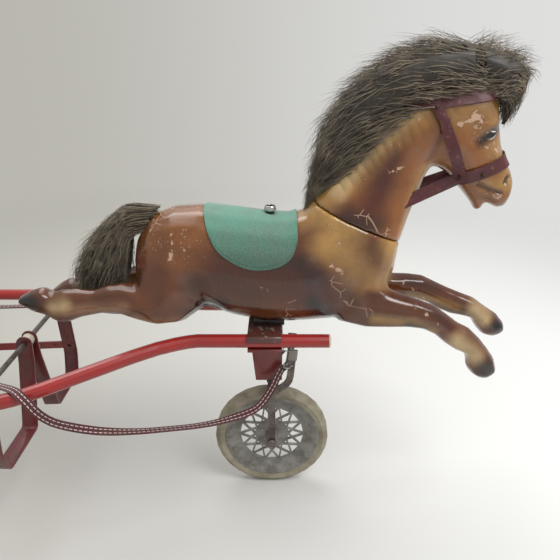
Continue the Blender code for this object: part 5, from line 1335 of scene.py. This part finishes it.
BANDS = (
    ("browband", (0.208, 0.640), (0.325, 0.655), 0.015, 0.0022),
    ("noseband", (0.256, 0.538), (0.350, 0.576), 0.018, 0.0022),
)
CHEEK_TOP = (0.212, 0.645)
CHEEK_FOOT = (0.262, 0.541)
CHEEK_WIDTH = 0.014
CHEEK_LIFT = 0.0038
for i, (name, start, end, width, lift) in enumerate(BANDS):
    mesh = laid_grid(name, 120, STRAP_ROWS, band_rule(start, end, width, head_tree, lift))
    replaced = ("bridle",) if i == 0 else ()
    as_piece(name, smoothed_strap(name, mesh, 2, True), "frame", "bridle_leather", leather, *replaced)
for side, label in ((-1, "right"), (1, "left")):
    name = "cheek_strap_" + label
    rule = flank_rule(CHEEK_TOP, CHEEK_FOOT, CHEEK_WIDTH, side, head_tree, CHEEK_LIFT)
    as_piece(name, smoothed_strap(name, laid_grid(name, 50, STRAP_ROWS, rule), 2, False),
             "frame", "bridle_leather", leather)

rivet_metal = bare_metal("rivet_metal", "4a3a30", "241a15", 0.7, 0.4)
RIVETS = ((0.215, 0.634), (0.260, 0.546), (0.287, 0.547))
RIVET_HALF = (0.0030, 0.0016, 0.0030)
RIVET_LIFT = 0.0048
for side, label in ((-1, "right"), (1, "left")):
    bm = bmesh.new()
    for x, z in RIVETS:
        made = bmesh.ops.create_uvsphere(bm, u_segments=20, v_segments=10, radius=1.0)["verts"]
        bmesh.ops.scale(bm, vec=RIVET_HALF, verts=made)
        bmesh.ops.translate(bm, vec=on_flank(head_tree, x, z, side, RIVET_LIFT), verts=made)
    as_piece("bridle_rivets_" + label, finished(bm, "rivets"), "frame", "bridle_leather", rivet_metal)
print("bridle on")

# %% [markdown]
# ## The hard pieces
# The frame's solids already have the right shape. A copy of each is merged, its flat
# triangles are joined into whole faces, and its sharp edges get a small round, because a
# real edge always catches the light. The round pieces only need smooth shading.

# %% Rounding the edges
EDGE_ROUND = 0.0004
ROUNDED = (
    "clamp_saddle", "steering_head", "clamp_bolt_left", "clamp_bolt_right", "belly_block", "post_ring_nut",
    "pedal_bush", "pedal_rod_nut_left", "pedal_rod_nut_right", "axle_bracket_left", "axle_bracket_right",
    "axle_bush_left", "axle_bush_right", "seat_bearer_front", "seat_bearer_rear", "seat_pan", "back_frame",
    "seat_back", "fork", "steering_pin", "steering_arm_left", "steering_arm_right", "front_axle",
    "pedal_right", "pedal_left", "connecting_rod_right", "connecting_rod_left", "rod_rivet_right",
    "rod_rivet_left", "hub_cap_right", "hub_cap_left", "shaft_cap_front_left", "shaft_cap_front_right",
    "shaft_cap_rear_left", "shaft_cap_rear_right", "arm_sleeve_left", "arm_sleeve_right",
)
BODIES = frame["record"]["behaviour"]["bodies"]
BODY_OF = {node: name for name, nodes in BODIES.items() for node in nodes}
SLOT_OF = {subpart["node"]: subpart["material_slot"] for subpart in frame["record"]["subparts"]}


def rounded(node):
    """A copy of a solid with its flats joined and its edges rounded."""
    bm = merged_copy(node)
    bmesh.ops.dissolve_limit(bm, angle_limit=math.radians(1.0), verts=bm.verts, edges=bm.edges)
    sharp = [e for e in bm.edges if len(e.link_faces) == 2 and e.calc_face_angle(0.0) > math.radians(38)]
    bmesh.ops.bevel(bm, geom=sharp, offset=EDGE_ROUND, offset_type="OFFSET", affect="EDGES", segments=2,
                    profile=0.5, material=-1, clamp_overlap=True)
    return finished(bm, node, 40)


for node in ROUNDED:
    slot = SLOT_OF[node]
    as_piece(node + "_finish", rounded(node), BODY_OF[node], slot, FINISH[slot], node)
print("rounded", len(ROUNDED), "pieces")

# %% [markdown]
# Tubes, rims and tyres have few edges to round. They keep the frame's own mesh, so only
# their shading is made smooth and their finish laid on.

# %% The other nodes keep their mesh and take a finish
for node, piece in NODES.items():
    slot = SLOT_OF[node]
    if node not in ROUNDED and slot in FINISH:
        piece.data.materials.clear()
        piece.data.materials.append(FINISH[slot])
        piece.data.shade_smooth()
